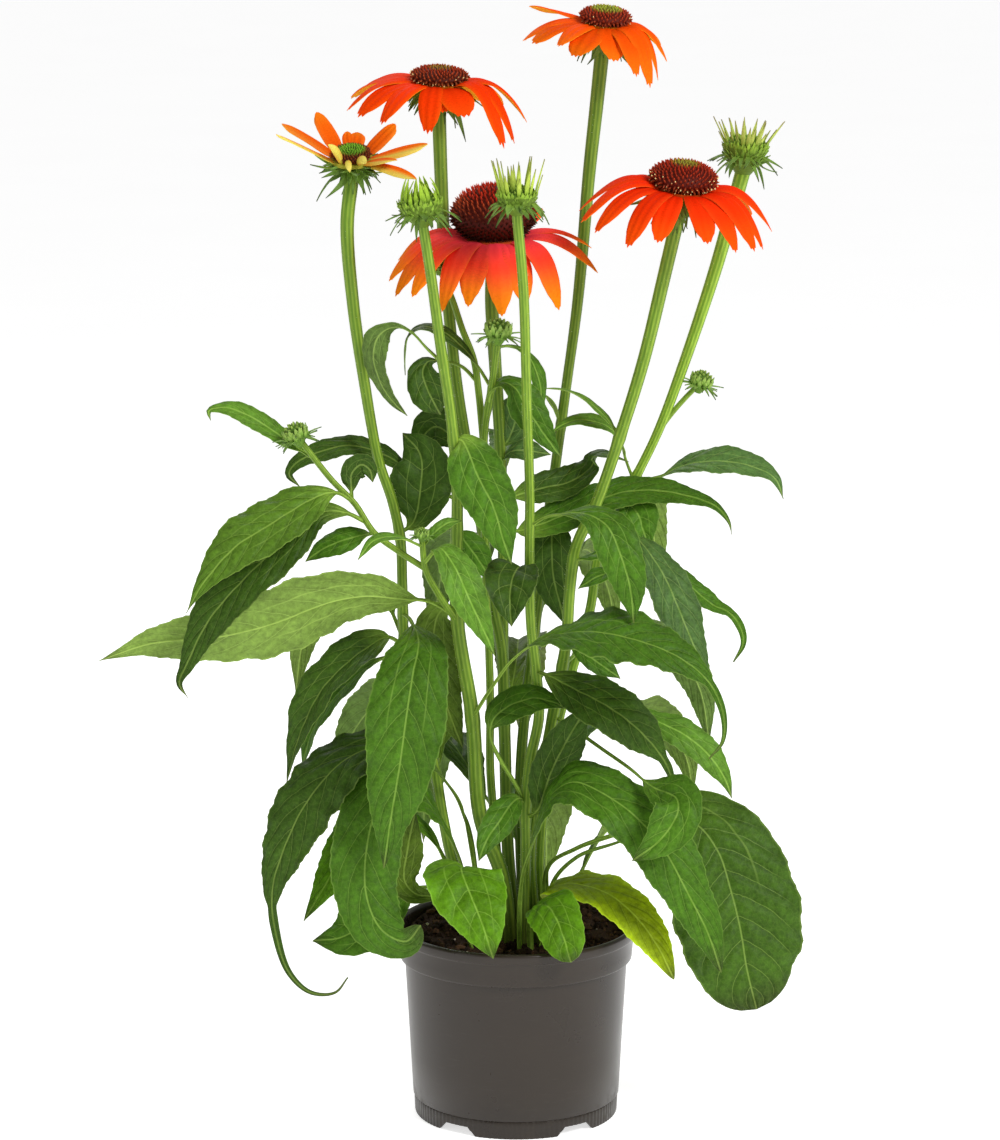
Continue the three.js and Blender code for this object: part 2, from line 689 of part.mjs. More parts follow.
// Leaves that rise from the crown on their own stalks.
const ROOT_LEAVES = {
  front_right: {
    foot: [2, -15],
    path: [
      [3, -22, 154], [8, -28, 175], [16, -35, 199], [24, -42, 216], [36, -49, 223],
      [51, -58, 219], [69, -68, 209], [87, -76, 191], [104, -82, 161], [116, -84, 137],
      [124, -84, 113],
    ],
    width: 40, belly: 0.45, petiole: 0.3, fold: 4, tip: 0.8, face: [UP, [0.2, -1, 0.4]],
  },
  far_right: {
    foot: [23, -1],
    path: [
      [20, 2, 156], [37, 0, 168], [58, -4, 177], [83, -8, 185], [109, -16, 189],
      [124, -26, 174], [132, -34, 151], [138, -41, 127], [142, -46, 103], [148, -49, 79],
    ],
    width: 80, belly: 0.55, petiole: 0.5, fold: 5, tip: 0.5, face: [UP, [0.3, -1, 0.2]],
  },
  right_back: {
    foot: [26, 7],
    path: [
      [23, 14, 141], [38, 16, 158], [66, 16, 169], [87, 14, 182], [102, 12, 192],
      [113, 9, 193], [119, 8, 184],
    ],
    width: 20, belly: 0.5, petiole: 0.6, fold: 10, face: [UP, TILTED],
  },
  pale_right: {
    foot: [15, -12],
    path: [
      [22, -15, 146], [28, -22, 151], [35, -30, 154], [56, -46, 152], [74, -60, 140],
      [87, -68, 123], [96, -72, 105],
    ],
    width: 31, belly: 0.45, petiole: 0.16, fold: 5, tip: 0.75, face: [UP, TILTED],
  },
  pale_front: {
    foot: [9, -19],
    path: [[9, -31, 135], [15, -46, 145], [21, -60, 146], [27, -73, 137], [33, -85, 120]],
    width: 31, belly: 0.5, petiole: 0.45, fold: 3, tip: 0.5, face: [UP, FRONT],
  },
  heart: {
    foot: [-13, -13],
    path: [
      [-17, -27, 143], [-25, -38, 159], [-33, -49, 169], [-33, -61, 169], [-28, -73, 159],
      [-21, -83, 144], [-14, -91, 124],
    ],
    width: 48, belly: 0.3, petiole: 0.55, fold: 3, tip: 0.95, face: [UP, [0, -1, 0.5]],
  },
  front_left: {
    foot: [-24, -8],
    path: [
      [-35, -13, 166], [-46, -22, 191], [-57, -34, 211], [-70, -46, 220], [-84, -58, 210],
      [-91, -66, 185], [-91, -72, 158], [-82, -76, 138], [-67, -78, 131], [-58, -78, 141],
    ],
    width: 42, belly: 0.55, petiole: 0.3, fold: 4, tip: 0.6, face: [UP, FRONT],
  },
  far_left: {
    foot: [-22, -5],
    path: [
      [-26, -2, 160], [-32, 0, 190], [-41, -9, 211], [-62, -22, 235], [-83, -30, 241],
      [-105, -38, 234], [-127, -46, 211], [-140, -51, 186], [-149, -54, 156], [-147, -56, 130],
      [-139, -60, 106], [-126, -62, 94], [-111, -63, 94], [-103, -64, 104],
    ],
    width: 43, belly: 0.5, petiole: 0.32, fold: 3, tip: 1.1, tail: 0.2, face: [UP, [-0.5, -1, 0.2]],
  },
  folded_left: {
    foot: [-27, -16],
    path: [[-47, -22, 141], [-63, -24, 146], [-69, -28, 156], [-67, -30, 175], [-62, -32, 201]],
    width: 20, belly: 0.55, petiole: 0.4, fold: 4, face: [UP, FRONT],
  },
  left_back: {
    foot: [-29, 12],
    path: [
      [-44, 14, 156], [-55, 12, 176], [-69, 4, 189], [-86, -10, 195], [-103, -22, 179],
      [-116, -31, 156], [-131, -38, 132],
    ],
    width: 28, belly: 0.5, petiole: 0.35, fold: 4, face: [UP, [-0.4, -1, 0.3]],
  },
  low_left: {
    foot: [-28, -2],
    path: [
      [-43, -6, 141], [-62, -3, 144], [-77, -3, 135], [-94, -5, 121], [-109, -8, 113],
      [-127, -9, 111],
    ],
    width: 38, belly: 0.45, petiole: 0.5, fold: 2, face: [UP, [-0.3, -1, 0.6]],
  },
  back: {
    foot: [4, 33],
    path: [[8, 62, 170], [15, 98, 188], [20, 125, 150], [20, 134, 112]],
    width: 44, belly: 0.45, petiole: 0.3, fold: 12, face: [UP, BACK],
  },
  back_right: {
    foot: [27, 20],
    path: [[58, 48, 168], [88, 72, 166], [108, 84, 122], [110, 85, 92]],
    width: 42, belly: 0.45, petiole: 0.3, fold: 12, face: [UP, BACK],
  },
};

// ---- small helpers -------------------------------------------------------------------

// Seeded random numbers from 0 to 1, so that the plant is the same each time.
function randomFrom(seed) {
  let state = seed;
  return () => {
    state = (state + 0x6d2b79f5) | 0;
    let t = Math.imul(state ^ (state >>> 15), 1 | state);
    t = (t + Math.imul(t ^ (t >>> 7), 61 | t)) ^ t;
    return ((t ^ (t >>> 14)) >>> 0) / 4294967296;
  };
}

function vec(p) {
  return new THREE.Vector3(...p);
}

function curveThrough(points) {
  return new THREE.CatmullRomCurve3(points, false, "centripetal");
}

// A manifold solid from a list of points and a list of triangles.
function solidFrom(points, triangles) {
  const made = new wasm.Manifold(
    new wasm.Mesh({
      numProp: 3,
      vertProperties: new Float32Array(points.flatMap((p) => [p.x, p.y, p.z])),
      triVerts: new Uint32Array(triangles.flat()),
    }),
  );
  return made;
}

function solidOfGeometry(geometry) {
  const bare = geometry.clone();
  bare.deleteAttribute("normal");
  bare.deleteAttribute("uv");
  const merged = mergeVertices(bare, 1e-4);
  return new wasm.Manifold(
    new wasm.Mesh({
      numProp: 3,
      vertProperties: new Float32Array(merged.attributes.position.array),
      triVerts: new Uint32Array(merged.index.array),
    }),
  );
}

function union(solids) {
  return wasm.Manifold.union(solids);
}

// A closed skin over a row of rings with the same number of points each. Strips listed in
// turned use the other diagonal. The end rings are closed by fans.
function loft(rings, turned = []) {
  const n = rings[0].length;
  const triangles = [];
  for (let k = 0; k + 1 < rings.length; k++) {
    for (let j = 0; j < n; j++) {
      const a = k * n + j;
      const b = k * n + ((j + 1) % n);
      const c = b + n;
      const d = a + n;
      if (turned.includes(j)) triangles.push([a, b, d], [b, c, d]);
      else triangles.push([a, b, c], [a, c, d]);
    }
  }
  const last = (rings.length - 1) * n;
  for (let j = 1; j + 1 < n; j++) {
    triangles.push([0, j + 1, j], [last, last + j, last + j + 1]);
  }
  return solidFrom(rings.flat(), triangles);
}

// A round tube along a curve, its radius passing through the values of radii. Places in extra
// get a ring of their own.
function tube(curve, radii, sections, sides, extra = []) {
  const stops = Array.from({ length: sections + 1 }, (_, k) => k / sections);
  const rings = [...stops, ...extra].sort((a, b) => a - b).map((t) => {
    const along = curve.getTangentAt(t);
    const back = vec(BACK).addScaledVector(along, -along.y).normalize();
    const side = back.clone().cross(along);
    const at = t * (radii.length - 1);
    const i = Math.min(Math.floor(at), radii.length - 2);
    const radius = THREE.MathUtils.lerp(radii[i], radii[i + 1], at - i);
    return Array.from({ length: sides }, (_, j) => {
      const turn = (2 * Math.PI * j) / sides;
      return curve
        .getPointAt(t)
        .addScaledVector(back, radius * Math.cos(turn))
        .addScaledVector(side, -radius * Math.sin(turn));
    });
  });
  return loft(rings);
}

// How far along a rising curve a height is reached, from 0 to 1.
function shareAtHeight(curve, height) {
  let low = 0;
  let high = 1;
  for (let i = 0; i < 30; i++) {
    const middle = (low + high) / 2;
    if (curve.getPointAt(middle).z < height) low = middle;
    else high = middle;
  }
  return low;
}

// ---- blades --------------------------------------------------------------------------

// A thin blade along a midrib. The outline rises from the petiole to the belly and falls to
// the tip, more slowly where tip is small, and a share tail of the length ends it as a thread.
// The two halves fold up a little from the midrib, and the edges wave. A share inward turns the
// top of an upright stalk to the middle of the plant.
function blade(points, spec, random) {
  const { width, belly, petiole, stalk = 1.3, tip = 1.1, tail = 0 } = spec;
  const [faceA, faceB] = spec.face;
  const inward = points[0].clone().sub(points.at(-1)).setZ(0).setLength(spec.inward ?? 0);
  const fold = THREE.MathUtils.degToRad(spec.fold ?? 12);
  const curve = curveThrough(points);
  const sections = THREE.MathUtils.clamp(Math.round(curve.getLength() / 27), 4, spec.sections ?? 9);
  const rise = (tip * belly) / (1 - belly);
  const phase = random() * 6;
  const rings = [];
  for (let k = 0; k <= sections; k++) {
    const t = k / sections;
    const centre = curve.getPointAt(t);
    const along = curve.getTangentAt(t);
    const facing = vec(faceA).normalize().lerp(vec(faceB).normalize(), t).add(inward);
    const normal = facing.addScaledVector(along, -facing.dot(along)).normalize();
    const side = along.clone().cross(normal);
    const s = THREE.MathUtils.clamp((t - petiole) / (1 - petiole - tail), 0, 1);
    const profile = (s / belly) ** rise * ((1 - s) / (1 - belly)) ** tip;
    const thread = tail ? 0.5 + 2.8 * Math.min(1, (1 - t) / tail) : 0.5;
    const tooth = 1 + 0.05 * (-1) ** k;
    const half = Math.max((width / 2) * profile * tooth, t <= petiole ? stalk : thread);
    const wave = Math.min(0.07 * half, 1.6) * Math.sin(phase + 2.4 * k);
    const edge = (sign, lift) =>
      centre
        .clone()
        .addScaledVector(side, sign * half * Math.cos(fold))
        .addScaledVector(normal, half * Math.sin(fold) + sign * wave + lift);
    const middle = (lift) => centre.clone().addScaledVector(normal, lift);
    const h = t <= petiole ? Math.max(BLADE / 2, stalk * 0.6) : BLADE / 2;
    if (width < NARROW) rings.push([edge(-1, h), edge(1, h), edge(1, -h), edge(-1, -h)]);
    else rings.push([edge(-1, h), middle(h), edge(1, h), edge(1, -h), middle(-h), edge(-1, -h)]);
  }
  return loft(rings, width < NARROW ? [2] : [3, 4]);
}

// A pointed spike with a three-sided section.
function spike(root, direction, length, breadth) {
  const along = direction.clone().normalize();
  const side = along.clone().cross(Math.abs(along.z) > 0.9 ? vec(RIGHT) : vec(UP)).normalize();
  const lift = side.clone().cross(along);
  const corner = (j) =>
    root
      .clone()
      .addScaledVector(side, (breadth / 2) * Math.cos((2 * Math.PI * j) / 3))
      .addScaledVector(lift, 0.35 * breadth * Math.sin((2 * Math.PI * j) / 3));
  const tip = root.clone().addScaledVector(along, length);
  return solidFrom([corner(0), corner(1), corner(2), tip], [[0, 1, 2], [1, 0, 3], [2, 1, 3], [0, 2, 3]]);
}

// ---- the pot and the soil ------------------------------------------------------------

function potOuter() {
  const p = POT;
  const groove = p.height - p.collarHeight;
  return [
    [p.footRadius, 0],
    [p.footRadius + 0.4, p.footHeight],
    [p.bodyFootRadius + 0.2, p.footHeight + 1],
    [p.bodyTopRadius, groove - 1],
    [p.collarRadius - 1, groove],
    [p.collarRadius, p.height - p.lipHeight - 1],
    [p.rimRadius - 0.2, p.height - p.lipHeight],
    [p.rimRadius, p.height - 2],
    [p.rimRadius - 1.2, p.height],
  ];
}

function potInner() {
  const p = POT;
  return [
    [p.rimRadius - 3.6, p.height],
    [p.rimRadius - 4.4, p.height - 2],
    [p.collarRadius - p.wall - 1.4, p.height - p.lipHeight - 2],
    [p.bodyTopRadius - p.wall, p.height - p.collarHeight - 4],
    [p.footRadius - p.wall, p.floor + p.wall],
  ];
}

function turned(profile, sides) {
  return solidOfGeometry(
    new THREE.LatheGeometry(
      profile.map(([r, z]) => new THREE.Vector2(r, z)),
      sides,
    ).rotateX(Math.PI / 2),
  );
}

// One opening between two feet: a wedge that is wider at the ground.
function footNotch(angle) {
  const half = (deg, r) => r * Math.sin(THREE.MathUtils.degToRad(deg));
  const r = POT.footRadius;
  const shape = new THREE.Shape();
  shape.moveTo(-half(12.5, r), -1);
  shape.lineTo(half(12.5, r), -1);
  shape.lineTo(half(7.5, r), 5.5);
  shape.lineTo(-half(7.5, r), 5.5);
  const wedge = new THREE.ExtrudeGeometry(shape, { depth: 24, bevelEnabled: false });
  wedge.rotateX(Math.PI / 2).translate(0, 14, 0);
  wedge.translate(0, -r, 0).rotateZ(THREE.MathUtils.degToRad(angle));
  return solidOfGeometry(wedge);
}

function drainHole(angle, radius) {
  const hole = new THREE.CylinderGeometry(4, 4, 20, 8).rotateX(Math.PI / 2);
  hole.translate(radius, 0, POT.floor).rotateZ(THREE.MathUtils.degToRad(angle));
  return solidOfGeometry(hole);
}

function pot() {
  const p = POT;
  const base = [
    [0, 0],
    [p.pad, 0],
    [p.pad + 1, p.floor],
    [p.footRadius - p.wall - 0.6, p.floor],
    [p.footRadius - p.wall, 0],
  ];
  const profile = [...base, ...potOuter(), ...potInner(), [0, p.floor + p.wall]];
  let body = turned(profile, p.sides);
  const step = 360 / p.feet;
  for (let i = 0; i < p.feet; i++) {
    body = body.subtract(footNotch(step * (i + 0.5)));
    body = body.subtract(drainHole(step * i + 90, 34));
  }
  return body;
}

// The soil fills the pot to a rough surface that rises to the back, with a plain hole for
// each stem.
function soil(holes) {
  const { rings, sides } = SOIL;
  const random = randomFrom(11);
  const inner = (z) => {
    const wall = potInner();
    let i = 0;
    while (i + 2 < wall.length && wall[i + 1][1] > z) i++;
    const [r0, z0] = wall[i];
    const [r1, z1] = wall[i + 1];
    return r0 + ((r1 - r0) * (z - z0)) / (z1 - z0) - 3 * GAP;
  };
  const top = (r, a) => {
    const y = r * Math.sin(a);
    const slope = THREE.MathUtils.mapLinear(y, -70, 70, SOIL.front, SOIL.back);
    return slope + SOIL.mound * Math.max(0, Math.sin(a)) * Math.sin((Math.PI * r) / 75);
  };
  const points = [new THREE.Vector3(0, 0, CROWN)];
  const triangles = [];
  for (let k = 1; k <= rings; k++) {
    for (let j = 0; j < sides; j++) {
      const a = (2 * Math.PI * (j + 0.5 * (k % 2))) / sides;
      const r = (inner(SOIL.front) * k) / rings;
      const lump = k === 4 ? 2.4 * (random() - 0.5) : 0;
      const z = k < 4 ? CROWN : top(r, a) + lump;
      points.push(new THREE.Vector3(r * Math.cos(a), r * Math.sin(a), z));
    }
  }
  for (const z of [SOIL.front - 8, POT.floor + POT.wall + GAP]) {
    for (let j = 0; j < sides; j++) {
      const a = (2 * Math.PI * (j + 0.5 * (rings % 2))) / sides;
      const r = inner(z) - GAP;
      points.push(new THREE.Vector3(r * Math.cos(a), r * Math.sin(a), z));
    }
  }
  points.push(new THREE.Vector3(0, 0, POT.floor + POT.wall + GAP));
  for (let j = 0; j < sides; j++) triangles.push([0, 1 + j, 1 + ((j + 1) % sides)]);
  for (let k = 1; k < rings + 2; k++) {
    for (let j = 0; j < sides; j++) {
      const n = (j + 1) % sides;
      const a = 1 + (k - 1) * sides + j;
      const b = 1 + (k - 1) * sides + n;
      const c = a + sides;
      const d = b + sides;
      const even = k < rings && k % 2 === 0;
      if (even) triangles.push([a, c, b], [b, c, d]);
      else triangles.push([a, c, d], [a, d, b]);
    }
  }
  const last = 1 + (rings + 1) * sides;
  for (let j = 0; j < sides; j++) {
    triangles.push([last + sides, last + ((j + 1) % sides), last + j]);
  }
  let body = solidFrom(points, triangles);
  for (const { x, y, r, depth } of holes) {
    const hole = new THREE.CylinderGeometry(r, r, 80, 6).rotateX(Math.PI / 2);
    hole.translate(x, y, CROWN - depth + 40);
    body = body.subtract(solidOfGeometry(hole));
  }
  return body;
}

// ---- flower heads --------------------------------------------------------------------

// The frame of a head: its middle, its axis and two directions across it. Azimuth 0 points
// to the front, 90 to the right.
function headFrame(centre, axis) {
  const up = vec(axis).normalize();
  const right = vec(RIGHT).addScaledVector(up, -up.x).normalize();
  const back = up.clone().cross(right);
  const out = (azimuth) => {
    const a = THREE.MathUtils.degToRad(azimuth);
    return right
      .clone()
      .multiplyScalar(Math.sin(a))
      .addScaledVector(back, -Math.cos(a));
  };
  const place = (azimuth, r, h) =>
    vec(centre).addScaledVector(out(azimuth), r).addScaledVector(up, h);
  return { up, out, place };
}

function ringOf(frame, radius, height, sides) {
  return Array.from({ length: sides }, (_, j) =>
    frame.place((360 * j) / sides, radius, height),
  );
}

// The green cup between a neck and its head, with rows of narrow bracts that spread and hang.
function calyx(frame, neck, head, random) {
  const { radius, cup: depth, bracts } = head;
  const cup = loft([
    ringOf(frame, neck, -depth, 8),
    ringOf(frame, radius * (head.petals ? 0.55 : 0.75), -depth * 0.45, 8),
    ringOf(frame, radius * (head.petals ? 0.8 : 0.95), -0.2, 8),
  ]);
  const pieces = [cup];
  const { count, length, lift, droop, breadth = 2.6 } = bracts;
  for (let i = 0; i < count; i++) {
    const azimuth = (360 * (i + 0.3 * random())) / count;
    const row = i % 2;
    const share = (row ? 0.42 : 0.6) * (head.petals ? 1 : 1.25);
    const root = frame.place(azimuth, radius * share, -depth * (row ? 0.5 : 0.25));
    const out = frame.out(azimuth);
    const lean = 0.5 * (lift + droop) - 0.3 * row - 0.4 * random();
    const way = out.clone().addScaledVector(frame.up, lean);
    pieces.push(spike(root, way, length * (0.8 + 0.4 * random()) + radius * 0.3, breadth));
  }
  return union(pieces);
}

// A petal from the hub to its tip: it leaves at the angle rise, and its tip lies reach from
// the axis and drop below the hub.
function petal(frame, hub, [azimuth, reach, drop, rise], width, layer) {
  const root = { r: hub * 0.8, h: layer ? 1.9 : 0.95 };
  const run = Math.hypot(reach - root.r, drop) * 0.55;
  const angle = THREE.MathUtils.degToRad(rise);
  const knee = { r: root.r + run * Math.cos(angle), h: root.h + run * Math.sin(angle) };
  const point = (t) => {
    const r = (1 - t) ** 2 * root.r + 2 * t * (1 - t) * knee.r + t * t * reach;
    const h = (1 - t) ** 2 * root.h + 2 * t * (1 - t) * knee.h - t * t * drop;
    return [r, h];
  };
  const halves = [0.5, 0.95, 1, 0.45];
  const side = frame.out(azimuth + 90);
  const rings = halves.map((share, k) => {
    const t = k / (halves.length - 1);
    const [r0, h0] = point(Math.max(0, t - 0.02));
    const [r1, h1] = point(Math.min(1, t + 0.02));
    const along = frame.place(azimuth, r1, h1).sub(frame.place(azimuth, r0, h0)).normalize();
    const normal = side.clone().cross(along).normalize();
    const edge = (sign, lift) =>
      frame
        .place(azimuth, ...point(t))
        .addScaledVector(side, (sign * share * width) / 2)
        .addScaledVector(normal, lift);
    const half = PETAL / 2;
    return [edge(-1, half), edge(1, half), edge(1, -half), edge(-1, -half)];
  });
  return loft(rings, [2]);
}

function petalRing(flower, frame) {
  const hub = flower.radius * flower.hub;
  const disc = loft([ringOf(frame, hub, GAP, 12), ringOf(frame, hub, HUB, 12)]);
  const petals = flower.petals.map((p, i) => petal(frame, hub, p, p[4] ?? flower.petalWidth, i % 2));
  return union([disc, ...petals]);
}

// A dome of pointed florets: every cell of a net over the dome rises to a point.
function floretDome(frame, shape, rows, columns, point) {
  const points = [];
  const triangles = [];
  const ring = (k) => {
    const [r, h] = shape(k / rows);
    return Array.from({ length: columns }, (_, j) =>
      frame.place((360 * (j + 0.5 * (k % 2))) / columns, r, h),
    );
  };
  for (let k = 0; k <= rows; k++) points.push(...ring(k));
  for (let k = 0; k < rows; k++) {
    for (let j = 0; j < columns; j++) {
      const shift = k % 2;
      const a = k * columns + j;
      const b = k * columns + ((j + 1) % columns);
      const c = (k + 1) * columns + ((j + shift) % columns);
      const d = (k + 1) * columns + ((j + 1 + shift) % columns);
      const low = k * columns + ((j + shift) % columns);
      const corners = [a, b, d, c];
      const centre = corners
        .reduce((sum, i) => sum.add(points[i]), new THREE.Vector3())
        .multiplyScalar(0.25);
      const [r0, h0] = shape(k / rows);
      const [r1, h1] = shape((k + 1) / rows);
      const outward = frame
        .out((360 * (j + 0.5 + 0.25)) / columns)
        .multiplyScalar(h1 - h0)
        .addScaledVector(frame.up, r0 - r1 + 0.6 * Math.abs(h1 - h0))
        .normalize();
      centre.addScaledVector(outward, point);
      const apex = points.push(centre) - 1;
      corners.forEach((v, i) => triangles.push([v, corners[(i + 1) % 4], apex]));
    }
  }
  for (let j = 1; j + 1 < columns; j++) {
    const top = rows * columns;
    triangles.push([0, j + 1, j], [top, top + j, top + j + 1]);
  }
  return solidFrom(points, triangles);
}

function cone(flower, frame) {
  const { radius, height } = flower;
  const base = HUB + GAP;
  const shape = (t) => {
    const a = THREE.MathUtils.lerp(-0.55, 1.45, t);
    const under = Math.max(0, -Math.sin(a));
    return [radius * Math.cos(a) * (1 - 0.5 * under), base + height * 0.34 + height * 0.66 * Math.sin(a)];
  };
  const low = shape(0)[1] - base;
  const shifted = (t) => [shape(t)[0], shape(t)[1] - low + 0.1];
  return floretDome(frame, shifted, 5, 11, Math.min(2.6, height * 0.18));
}

// ---- young heads ---------------------------------------------------------------------

// A ray with a three-sided section that bends inward on its way to a blunt tip.
function bentRay(root, way, inward, length, breadth) {
  const side = way.clone().cross(inward).normalize();
  const face = way.clone().cross(side);
  const rings = [0, 0.55, 1].map((s) => {
    const centre = root.clone().addScaledVector(way, length * s).addScaledVector(inward, length * s * s);
    const half = (breadth / 2) * (1 - 0.55 * s * s);
    return [0, 1, 2].map((j) => {
      const turn = (2 * Math.PI * j) / 3;
      return centre
        .clone()
        .addScaledVector(side, half * Math.cos(turn))
        .addScaledVector(face, 0.7 * half * Math.sin(turn));
    });
  });
  return loft(rings);
}

// Upright narrow rays round a low green disc, straight or curled inward.
function youngRays(head, frame, random) {
  const { radius, rays, rayLength, spread, curl = 0 } = head;
  const shape = (t) => [radius * Math.cos(1.3 * t) * 0.92, 0.1 + radius * 0.5 * Math.sin(1.3 * t)];
  const pieces = [floretDome(frame, shape, 2, 10, 1.6)];
  for (let i = 0; i < rays; i++) {
    const azimuth = (360 * (i + 0.5 * random())) / rays;
    const r = radius * (i % 3 === 2 ? 0.5 : 0.84);
    const root = frame.place(azimuth, r, 1);
    const way = frame.up.clone().addScaledVector(frame.out(azimuth), (spread * r) / radius);
    const length = rayLength * (0.8 + 0.3 * random());
    const inward = frame.out(azimuth).multiplyScalar(-curl);
    if (curl) pieces.push(bentRay(root, way.normalize(), inward, length, 2.8));
    else pieces.push(spike(root, way, length, 2.8));
  }
  return union(pieces);
}

// A small bud at the end of a side shoot: a knob with florets and a collar of bracts.
function smallBud(centre, axis, radius, random) {
  const frame = headFrame(centre, axis);
  const shape = (t) => [radius * Math.cos(1.3 * t), radius * Math.sin(1.3 * t)];
  const knob = floretDome(frame, shape, 2, 7, radius * 0.28);
  const cup = loft([ringOf(frame, 1.6, -radius * 1.1, 7), ringOf(frame, radius, 0.4, 7)]);
  const pieces = [knob, cup];
  const count = radius > 6 ? 8 : 5;
  for (let i = 0; i < count; i++) {
    const azimuth = (360 * (i + 0.4 * random())) / count;
    const out = frame.out(azimuth);
    const root = frame.place(azimuth, radius * 0.6, -radius * 0.2);
    const way = out.clone().addScaledVector(frame.up, 0.4 - 0.6 * (i % 2) - 0.3 * random());
    pieces.push(spike(root, way, radius * 1.7, 2));
  }
  return union(pieces);
}

// ---- stems with their leaves ---------------------------------------------------------

// Straight up through the soil, then along the path, and into the cup of the head.
function stemCurve(stem) {
  const points = [...underground(stem.foot, STEM_DEPTH), ...stem.path.map(vec)];
  if (stem.head) {
    const { centre, axis, cup } = stem.head;
    points.push(headFrame(centre, axis).place(0, 0, 1.5 - cup));
  }
  return curveThrough(points);
}

function underground([x, y], depth) {
  return [1 - depth, -10, 1].map((z) => vec([x, y, CROWN + z]));
}

function leafOn(curve, leaf, random) {
  return blade([curve.getPointAt(shareAtHeight(curve, leaf.at)), ...leaf.path.map(vec)], leaf, random);
}

function leafyStem(stem, random) {
  const curve = stemCurve(stem);
  const pieces = [tube(curve, stem.radii, 10, 6, [shareAtHeight(curve, CROWN + 1)])];
  pieces.push(...stem.leaves.map((leaf) => leafOn(curve, leaf, random)));
  const curves = [curve];
  for (const shoot of stem.shoots ?? []) {
    const parent = curves[shoot.from];
    const from = parent.getPointAt(shareAtHeight(parent, shoot.at));
    const side = curveThrough([from, ...shoot.path.map(vec)]);
    curves.push(side);
    pieces.push(tube(side, shoot.radii, 5, 5));
    pieces.push(...shoot.leaves.map((leaf) => leafOn(side, leaf, random)));
    if (shoot.bud) {
      pieces.push(smallBud(side.getPointAt(1).toArray(), shoot.bud.axis, shoot.bud.radius, random));
    }
  }
  if (stem.bud) {
    pieces.push(smallBud(curve.getPointAt(1).toArray(), stem.bud.axis, stem.bud.radius, random));
  }
  if (stem.head) {
    const frame = headFrame(stem.head.centre, stem.head.axis);
    pieces.push(calyx(frame, stem.radii.at(-1) + 0.2, stem.head, random));
  }
  return union(pieces);
}

// A root leaf starts straight up out of the soil.
function rootLeaf(leaf, random) {
  const points = [...underground(leaf.foot, PETIOLE_DEPTH), ...leaf.path.map(vec)];
  return blade(points, { stalk: 2, sections: 11, inward: 0.15, ...leaf }, random);
}

// ---- the whole plant -----------------------------------------------------------------

function meshOf(name, solid, colour) {
  const made = solid.getMesh();
  const geometry = new THREE.BufferGeometry();
  geometry.setAttribute("position", new THREE.BufferAttribute(made.vertProperties, 3));
  geometry.setIndex(new THREE.BufferAttribute(made.triVerts, 1));
  geometry.computeVertexNormals();
  const material = new THREE.MeshStandardMaterial({ metalness: 0, ...COLOURS[colour] });
  const mesh = new THREE.Mesh(geometry, material);
  mesh.name = name;
  return mesh;
}

function plant() {
  const group = new THREE.Group();
  const random = randomFrom(7);
  const holes = [];
  for (const stem of Object.values(STEMS)) {
    const [x, y] = stem.foot;
    holes.push({ x, y, r: stem.radii[0] + 1, depth: STEM_DEPTH });
  }
  for (const leaf of Object.values(ROOT_LEAVES)) {
    const [x, y] = leaf.foot;
    holes.push({ x, y, r: 4.1, depth: PETIOLE_DEPTH });
  }
  group.add(meshOf("pot", pot(), "pot"));
  group.add(meshOf("soil", soil(holes), "soil"));
  for (const [name, stem] of Object.entries(STEMS)) {
    group.add(meshOf("stem_" + name, leafyStem(stem, random), "stem"));
    if (!stem.head) continue;
    const frame = headFrame(stem.head.centre, stem.head.axis);
    if (stem.head.petals) {
      group.add(meshOf("petals_" + name, petalRing(stem.head, frame), "petal"));
      group.add(meshOf("cone_" + name, cone(stem.head, frame), "cone"));
    } else {
      group.add(meshOf("bud_" + name, youngRays(stem.head, frame, random), "bud"));
    }
  }
  for (const [name, leaf] of Object.entries(ROOT_LEAVES)) {
    group.add(meshOf("root_leaf_" + name, rootLeaf(leaf, random), "leaf"));
  }
  return group;
}

export default plant();
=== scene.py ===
"""Looks of a coneflower in bloom that grows in a plastic nursery pot.

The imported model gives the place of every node. Each node has a finer piece here that keeps its form:
blades with veins and toothed edges, ribbed and haired stems, ridged petals, cones of pointed florets.
Plant sizes are in millimetres, as in the model's source, and turn into metres when a mesh is made.
"""

import json
import math
from types import SimpleNamespace

import bpy
import numpy as np
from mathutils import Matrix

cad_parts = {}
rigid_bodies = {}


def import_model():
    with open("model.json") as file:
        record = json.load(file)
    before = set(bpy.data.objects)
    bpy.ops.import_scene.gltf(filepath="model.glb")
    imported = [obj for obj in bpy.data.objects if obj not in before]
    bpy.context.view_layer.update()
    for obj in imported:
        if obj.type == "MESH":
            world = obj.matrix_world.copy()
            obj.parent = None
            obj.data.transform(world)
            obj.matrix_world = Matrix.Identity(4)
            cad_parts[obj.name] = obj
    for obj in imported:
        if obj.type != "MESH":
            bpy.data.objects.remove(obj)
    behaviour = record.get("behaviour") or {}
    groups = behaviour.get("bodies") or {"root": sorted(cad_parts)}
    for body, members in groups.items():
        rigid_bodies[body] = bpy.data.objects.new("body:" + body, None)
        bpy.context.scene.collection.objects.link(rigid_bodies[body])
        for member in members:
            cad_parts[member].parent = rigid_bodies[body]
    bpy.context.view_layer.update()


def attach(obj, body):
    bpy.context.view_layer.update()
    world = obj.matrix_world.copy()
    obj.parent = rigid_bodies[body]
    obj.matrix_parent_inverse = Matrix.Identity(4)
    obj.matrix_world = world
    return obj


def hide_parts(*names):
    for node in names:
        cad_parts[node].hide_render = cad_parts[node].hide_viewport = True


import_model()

MM = 0.001
UP, FRONT, BACK = (0, 0, 1), (0, -1, 0), (0, 1, 0)
LEFT, RIGHT = (-1, 0, 0), (1, 0, 0)
TILTED = (0, -1, 1)  # up and to the front

